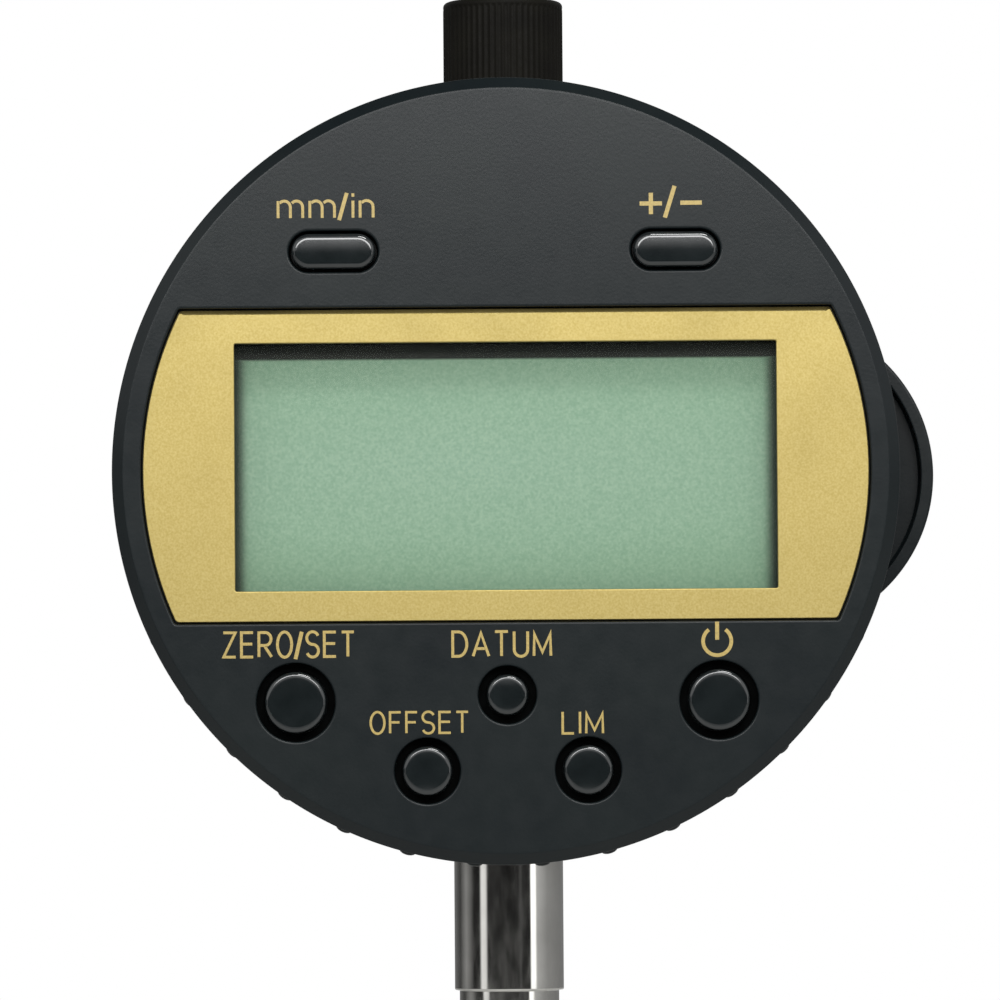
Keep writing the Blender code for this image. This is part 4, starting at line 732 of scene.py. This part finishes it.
# %% Cap
cap_low, cap_high = size_of("top_cap")
BOTTOM, CAP = cap_low[2], cap_high[2]
CAP_RADIUS, CAP_BORE, CAP_ROOF, GROOVES = 4.4, 3.5, CAP - 0.9, 60
groove_angle = np.linspace(0, 2 * np.pi, 12 * GROOVES, endpoint=False)
groove = 0.07 * (0.5 - 0.5 * np.cos(groove_angle * GROOVES)) ** 0.7  # wide grooves, with narrow ribs between them
profile = [(0, CAP), *bend(CAP_RADIUS - 0.35, CAP - 0.35, 0.35, 90, 0, 6)[:-1], (CAP_RADIUS, CAP - 0.4),
           (CAP_RADIUS - 0.02, CAP - 0.48), (CAP_RADIUS - groove, CAP - 0.62), (CAP_RADIUS - groove, BOTTOM + 0.8),
           (CAP_RADIUS - 0.02, BOTTOM + 0.6), (CAP_RADIUS, BOTTOM + 0.5), (CAP_RADIUS, BOTTOM + 0.15),
           (CAP_RADIUS - 0.15, BOTTOM), (CAP_BORE + 0.1, BOTTOM), (CAP_BORE, BOTTOM + 0.1), (CAP_BORE, CAP_ROOF),
           (0, CAP_ROOF)]
cap = piece("ribbed_top_cap", [carried(ring(12 * GROOVES), profile, upright)], cap_abs, "body", "top_cap")

# %% [markdown]
# ## Housing
# The housing's shape in the model is right and only its edges are bare, so a copy of it is used: its loose triangles
# are merged, flat areas become single faces again, and a small Bevel rounds the edges as a casting's are.

# %% Housing from the model, merged
mesh = frame["nodes"]["body_housing"].data.copy()
mesh.name = "cast_body_housing"
shell = bmesh.new()
shell.from_mesh(mesh)
bmesh.ops.remove_doubles(shell, verts=shell.verts, dist=0.001 * MM)
bmesh.ops.dissolve_limit(shell, angle_limit=np.radians(1.0), verts=shell.verts, edges=shell.edges)
shell.to_mesh(mesh)
shell.free()
print("housing:", len(mesh.polygons), "faces before rounding")

# %% Housing, bevelled and painted
CAST_EDGE, CAST_SHARP = 0.12, np.radians(40)  # the rounding's width, and the angle from which an edge gets it
mesh.shade_smooth()
mesh.set_sharp_from_angle(angle=CAST_SHARP)
mesh.materials.clear()
mesh.materials.append(cast_paint)
housing = add("cast_body_housing", mesh)
edge = housing.modifiers.new("rounded_edges", "BEVEL")
edge.width, edge.segments, edge.limit_method, edge.angle_limit = CAST_EDGE * MM, 2, "ANGLE", CAST_SHARP
edge.harden_normals = True
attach(housing, "body")
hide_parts("body_housing")
print("housing: edges rounded over", CAST_EDGE, "mm")

# %% [markdown]
# ## Back cover and lug
# The cover is a disc held by four screws in counterbores, with a lug cast in its middle for a stand's swivel. The lug's
# outline lies in the plane of the spindle, and its hole runs across, so its profile is carried along an outline in
# that plane. A fillet joins it to the disc.


# %% Back cover
cover_low, cover_high = size_of("back_cover")
COVER_FRONT = -cover_low[1]
COVER_BACK = COVER_FRONT - 1.8
COVER_RADIUS, SCREW_CIRCLE, SCREW_HOLE, SEAT = 25.2, 21.6, 1.05, 1.9
SEAT_FLOOR = COVER_BACK + 0.9
disc = ring(240)
rim = [(COVER_RADIUS - 0.15, COVER_FRONT), (COVER_RADIUS, COVER_FRONT - 0.1), (COVER_RADIUS, COVER_BACK + 0.5)]
rim += bend(COVER_RADIUS - 0.5, COVER_BACK + 0.5, 0.5, 0, -90, 5) + [(COVER_RADIUS - 0.6, COVER_BACK)]
patches = [carried(disc, rim)]
front_loops, back_loops = [at_offset(disc, COVER_RADIUS - 0.15)], [at_offset(disc, COVER_RADIUS - 0.6)]
for a in np.radians([45, 135, 225, 315]):
    path = pill(0, x=SCREW_CIRCLE * np.cos(a), y=SCREW_CIRCLE * np.sin(a))
    profile = [(SEAT + 0.15, COVER_BACK), (SEAT + 0.1, COVER_BACK), (SEAT, COVER_BACK + 0.1), (SEAT, SEAT_FLOOR),
               (SCREW_HOLE, SEAT_FLOOR), (SCREW_HOLE, COVER_FRONT)]
    patches.append(carried(path, profile))
    back_loops.append(at_offset(path, SEAT + 0.15))
    front_loops.append(at_offset(path, SCREW_HOLE))
patches += [panel(COVER_FRONT, *front_loops), panel(COVER_BACK, *back_loops)]
print("cover:", len(patches), "patches before the lug")


# %% Lug
def in_lug(y, z, x):
    """The lug's plane: outline (back, up from the dial's centre), thickness along the frame's X."""
    return np.stack([x, y, DIAL + z], -1)


LUG_RADIUS, LUG_HOLE = 6.0, 3.25
LUG_CENTRE = cover_high[1] - LUG_RADIUS
root = -COVER_BACK - 0.3
half = 2.5  # of the lug's thickness
eye = pill(0, x=LUG_CENTRE, y=0)
edge = [(-0.55, half), *bend(-0.5, half - 0.5, 0.5, 90, 0, 4), *bend(-0.5, -half + 0.5, 0.5, 0, -90, 4), (-0.55, -half)]
eye_edge = [(LUG_HOLE + 0.35, half), (LUG_HOLE + 0.3, half), (LUG_HOLE, half - 0.3), (LUG_HOLE, -half + 0.3),
            (LUG_HOLE + 0.3, -half), (LUG_HOLE + 0.35, -half)]
lug = outline((LUG_CENTRE, 0, LUG_RADIUS, -90, 90), (root + 0.6, LUG_RADIUS - 0.6, 0.6, 90, 180),
              (root + 0.6, -LUG_RADIUS + 0.6, 0.6, 180, 270), step=0.3)
patches += [carried(lug, edge, in_lug), carried(eye, eye_edge, in_lug)]
patches += [panel(h, at_offset(lug, -0.55), at_offset(eye, LUG_HOLE + 0.35), place=in_lug) for h in (half, -half)]
print("lug: centre", round(LUG_CENTRE - root, 1), "mm behind its root")

# %% The lug's foot
FILLET = 0.8
pad = outline((half - 0.3, LUG_RADIUS - 0.3, 0.3, 0, 90), (-half + 0.3, LUG_RADIUS - 0.3, 0.3, 90, 180),
              (-half + 0.3, -LUG_RADIUS + 0.3, 0.3, 180, 270), (half - 0.3, -LUG_RADIUS + 0.3, 0.3, 270, 360), step=0.3)
fillet = [(FILLET, COVER_BACK + 0.1)]
fillet += [(FILLET - FILLET * np.sin(t), COVER_BACK - FILLET + FILLET * np.cos(t))
           for t in np.linspace(0, np.pi / 2, 6)]
fillet += [(-0.1, COVER_BACK - FILLET)]
patches += [carried(pad, fillet), panel(COVER_BACK + 0.1, at_offset(pad, FILLET)),
            panel(COVER_BACK - FILLET, at_offset(pad, -0.1))]
cover = piece("back_cover_with_lug", patches, cast_paint, "body", "back_cover")

# %% Cover screws
HEAD, HEAD_HEIGHT, SHANK = 1.7, 0.6, 0.95
SLOT_HALF, SLOT_WALL, SLOT_DEPTH = 0.20, 0.06, 0.38
ROWS = [0.0, 0.2, 0.35, 0.5, 0.65, 0.8, 0.95, 1.1, 1.25, 1.4, 1.52]  # radii of the points across the head
for number in range(1, 5):
    name = f"back_cover_screw_{number}"
    low, high = size_of(name)
    top, tip = -high[1], -low[1]
    path = pill(0, x=(low[0] + high[0]) / 2, y=(low[2] + high[2]) / 2 - DIAL)
    turned = 0.6 + number  # each slot stands at another angle, as screws do
    profile = []
    for radius in ROWS:
        lateral = np.abs(radius * (path[1][:, 0] * np.cos(turned) + path[1][:, 1] * np.sin(turned)))
        cut = 1 - np.clip((lateral - SLOT_HALF) / SLOT_WALL, 0, 1)
        profile.append((radius, top + 0.02 + SLOT_DEPTH * cut))
    profile += [(HEAD - 0.08, top + 0.06), (HEAD, top + 0.16), (HEAD, top + HEAD_HEIGHT), (SHANK, top + HEAD_HEIGHT),
                (SHANK, tip - 0.3), (0.7, tip), (0, tip)]
    screw = piece(f"slotted_cover_screw_{number}", [carried(path, profile)], nickel, "body", name)

# %% [markdown]
# ## Battery tray and cell
# The tray is a round-ended drawer. Its front has a thin flat rim round a shallow recess, which gives a
# fingernail something to pull; its back holds the coin cell. The rim, recess and pocket are profiles carried along
# the same outline, and along a circle for the cell.


# %% Tray
tray_low, tray_high = size_of("battery_tray")
TRAY_FRONT, TRAY_BACK = -tray_low[1], -tray_high[1]
half, left, right = (tray_high[2] - tray_low[2]) / 2, tray_low[0], tray_high[0]
centre = right - half  # of the round end, and of the coin cell
drawer = outline((centre, 0, half, -90, 90), (left + 1.0, half - 1.0, 1.0, 90, 180),
                 (left + 1.0, -half + 1.0, 1.0, 180, 270), step=0.2)
RECESS = TRAY_FRONT - 1.5
profile = [(-1.15, RECESS), (-1.05, RECESS), (-0.92, RECESS + 0.12), (-0.9, TRAY_FRONT - 0.08),
           *bend(-0.82, TRAY_FRONT - 0.08, 0.08, 180, 90, 3), *bend(-0.14, TRAY_FRONT - 0.14, 0.14, 90, 0, 4),
           (0, TRAY_BACK + 0.2), *bend(-0.2, TRAY_BACK + 0.2, 0.2, 0, -90, 3), (-0.3, TRAY_BACK)]
CELL_RADIUS, CELL_ROOF = 10.0, RECESS - 0.8
POCKET_RADIUS = CELL_RADIUS + 0.2
pocket = pill(0, x=centre, y=0)
mouth = [(POCKET_RADIUS + 0.15, TRAY_BACK), (POCKET_RADIUS, TRAY_BACK + 0.15), (POCKET_RADIUS, CELL_ROOF)]
tray = piece("battery_tray_moulding", [
    carried(drawer, profile),
    panel(RECESS, at_offset(drawer, -1.15)),
    carried(pocket, mouth),
    panel(CELL_ROOF, at_offset(pocket, POCKET_RADIUS)),
    panel(TRAY_BACK, at_offset(drawer, -0.3), at_offset(pocket, POCKET_RADIUS + 0.15)),
], case_abs, "battery_drawer", "battery_tray")

# %% Coin cell
cell_low, cell_high = size_of("coin_cell")
CAN_EDGE, LID_RADIUS = 0.35, 9.0  # the can's rounded edge, and its other pole, the lid
cell_front, cell_back = -cell_low[1], -cell_high[1]
profile = [(0, cell_front), (CELL_RADIUS - CAN_EDGE, cell_front),
           *bend(CELL_RADIUS - CAN_EDGE, cell_front - CAN_EDGE, CAN_EDGE, 90, 0, 4)[1:],
           (CELL_RADIUS, cell_back + 0.7), (CELL_RADIUS - 0.1, cell_back + 0.55), (LID_RADIUS + 0.1, cell_back + 0.5),
           (LID_RADIUS, cell_back + 0.3), *bend(LID_RADIUS - 0.2, cell_back + 0.2, 0.2, 0, -90, 3), (0, cell_back)]
round_can = (axis[0] + (centre, 0), axis[1])
cell = piece("coin_cell_can", [carried(round_can, profile)], nickel, "battery_drawer", "coin_cell")

# %% [markdown]
# ## Finishes for the pieces kept from the model
# The inner pieces are simple shapes that the model already has right, so they keep their meshes. Each gets the finish
# of what it is made of.

# %% Finishes of the remaining nodes
FINISH_OF = {
    "case_plastic": case_abs, "button_plastic": key_abs, "cap_plastic": cap_abs, "bezel_gold": bezel_gold,
    "clear_acrylic": acrylic, "lcd_glass": reflector, "stainless_steel": turned_steel, "bronze": bush_bronze,
    "die_cast": cast_paint, "circuit_board": mask, "chip_epoxy": epoxy, "rubber": seal_rubber, "polyimide": film,
}
OWN_FINISH = {"return_spring": sprung_steel, "friction_washer": sprung_steel, "negative_contact": nickel,
              "positive_contact": nickel}
slots = {entry["node"]: entry["material_slot"] for entry in frame["record"]["subparts"]}
for name, made in frame["nodes"].items():
    made.data.materials.clear()
    made.data.materials.append(OWN_FINISH.get(name) or FINISH_OF[slots[name]])
print(len(frame["nodes"]), "nodes given a finish")

# %% [markdown]
# ## Studio
# The gauge hangs over a pale floor in a room of light made from two ramps. The upper ramp is a broad soft glow in
# front, from just above eye level to halfway up, and dark overhead: it gives the face its sheen and darkens the
# chamfer at the top. The lower ramp is what the polished stem mirrors: a dark gap in the middle where the lens is,
# one narrow bright strip at each side of it, and grey beyond. A lamp close above the lens adds the glow at the
# upper edge of the face, and a lamp high on the right puts the bright crescents on the keys. What the lens itself
# sees behind the gauge is plain white.

# %% Floor
FLOOR = -34.0
floor_mesh, _ = welded("studio_floor", *carried(ring(96), [(600.0, FLOOR), (300.0, FLOOR), (0.0, FLOOR)], upright))
floor = add("studio_floor", floor_mesh)
floor_mesh.materials.append(finish("matt_backdrop_paper", ("#cbcbc9", "#d0d0ce"), 60.0, (0.85, 0.95), 20.0))

# %% Room of light
GLOW = 3.0  # the brightest either ramp can be
# the horizon: angle from straight ahead in degrees, left negative, and brightness
HORIZON = [(-180, 0.22), (-150, 0.18), (-125, 0.08), (-103, 0.40), (-92, 0.25), (-80, 0.02), (-65, 0.02), (-60, 1.5),
           (-50, 1.3), (-46, 0.04), (-20, 0.03), (0, 0.01), (20, 0.03), (24, 0.10), (30, 0.03), (46, 0.03), (48, 2.6),
           (57, 2.6), (61, 0.75), (90, 0.42), (140, 0.28), (180, 0.22)]
ABOVE = [(-180, 0.7), (-110, 0.6), (-70, 1.45), (0, 1.7), (70, 1.45), (110, 0.6), (180, 0.7)]
world = bpy.data.worlds.new("studio_room")
bpy.context.scene.world = world
world.use_nodes = True
tree = world.node_tree
room = tree.nodes["Background"]
axes = node(tree, "SeparateXYZ", Vector=(node(tree, "TexCoord"), "Generated"))
ahead = node(tree, "Math", {"operation": "MULTIPLY"}, _0=(axes, "Y"))
ahead.inputs[1].default_value = -1.0
around = node(tree, "Math", {"operation": "ARCTAN2"}, _0=(axes, "X"), _1=(ahead, 0))
turn = node(tree, "MapRange", {"From Min": -np.pi, "From Max": np.pi}, Value=(around, 0))
low = node(tree, "ValToRGB", {"stops": [((a + 180) / 360, b / GLOW) for a, b in HORIZON]}, Fac=(turn, 0))
high = node(tree, "ValToRGB", {"stops": [((a + 180) / 360, b / GLOW) for a, b in ABOVE]}, Fac=(turn, 0))
rise = node(tree, "MapRange", {"From Min": 0.06, "From Max": 0.16, "interpolation_type": "SMOOTHSTEP"},
            Value=(axes, "Z"))
ceiling = node(tree, "MapRange", {"From Min": 0.60, "From Max": 0.85, "To Min": 1.0, "To Max": 0.08,
                                  "interpolation_type": "SMOOTHSTEP"}, Value=(axes, "Z"))
glow = node(tree, "Mix", {"data_type": "RGBA"}, _0=(rise, 0), _6=(low, "Color"), _7=(high, "Color"))
tree.links.new(glow.outputs[2], room.inputs["Color"])
strength = node(tree, "Math", {"operation": "MULTIPLY"}, _0=(ceiling, 0))
strength.inputs[1].default_value = GLOW
tree.links.new(strength.outputs[0], room.inputs["Strength"])
backdrop = node(tree, "Background", {"Color": (1, 1, 1, 1), "Strength": 1.0})
chosen = node(tree, "MixShader", _0=(node(tree, "LightPath"), "Is Camera Ray"), _1=(room, 0), _2=(backdrop, 0))
tree.links.new(chosen.outputs[0], tree.nodes["World Output"].inputs["Surface"])
print("room of light:", len(HORIZON), "steps round the horizon,", len(ABOVE), "above it")


# %% Lamps
def lamp(name, place, target, width, height, glow):
    """An area light, in millimetres, facing its target. A lamp of brightness L and area A gives π × A × L watts."""
    light = bpy.data.lights.new(name, "AREA")
    light.shape, light.size, light.size_y = "RECTANGLE", width * MM, height * MM
    light.energy = np.pi * width * height * MM ** 2 * glow
    made = add(name, light)
    made.location = Vector(place) * MM
    made.rotation_euler = (Vector(target) - Vector(place)).to_track_quat("-Z", "Y").to_euler()


lamp("lamp_above_lens", (0, -FACE - 190, DIAL + 72), (0, -FACE, DIAL + 24), 220, 44, 12.5)
lamp("lamp_high_right", (110, -FACE - 260, DIAL + 390), (0, -FACE, DIAL), 220, 80, 26.0)
print("room and", len(bpy.data.lights), "lamps")

# %% [markdown]
# ## Camera
# A long lens half a metre away, a little below the dial's centre and looking very slightly up, tilted by less than
# half a degree.

# %% Camera
camera_data = bpy.data.cameras.new("camera")
camera_data.lens, camera_data.sensor_width = 253.8, 36.0
camera = add("camera", camera_data)
bpy.context.scene.camera = camera
DISTANCE, LIFT, TILT = 500.0, np.radians(2.4), np.radians(-0.4)
place = Vector((0, -FACE - DISTANCE * np.cos(LIFT), DIAL - DISTANCE * np.sin(LIFT)))
aim = Vector((-0.43, -FACE, DIAL - 2.14))
turn = (aim - place).to_track_quat("-Z", "Y").to_matrix().to_4x4() @ Matrix.Rotation(TILT, 4, "Z")
camera.matrix_world = Matrix.Translation(place * MM) @ turn
bpy.context.scene.view_settings.view_transform = "Standard"
print("camera", DISTANCE, "mm in front of the face")
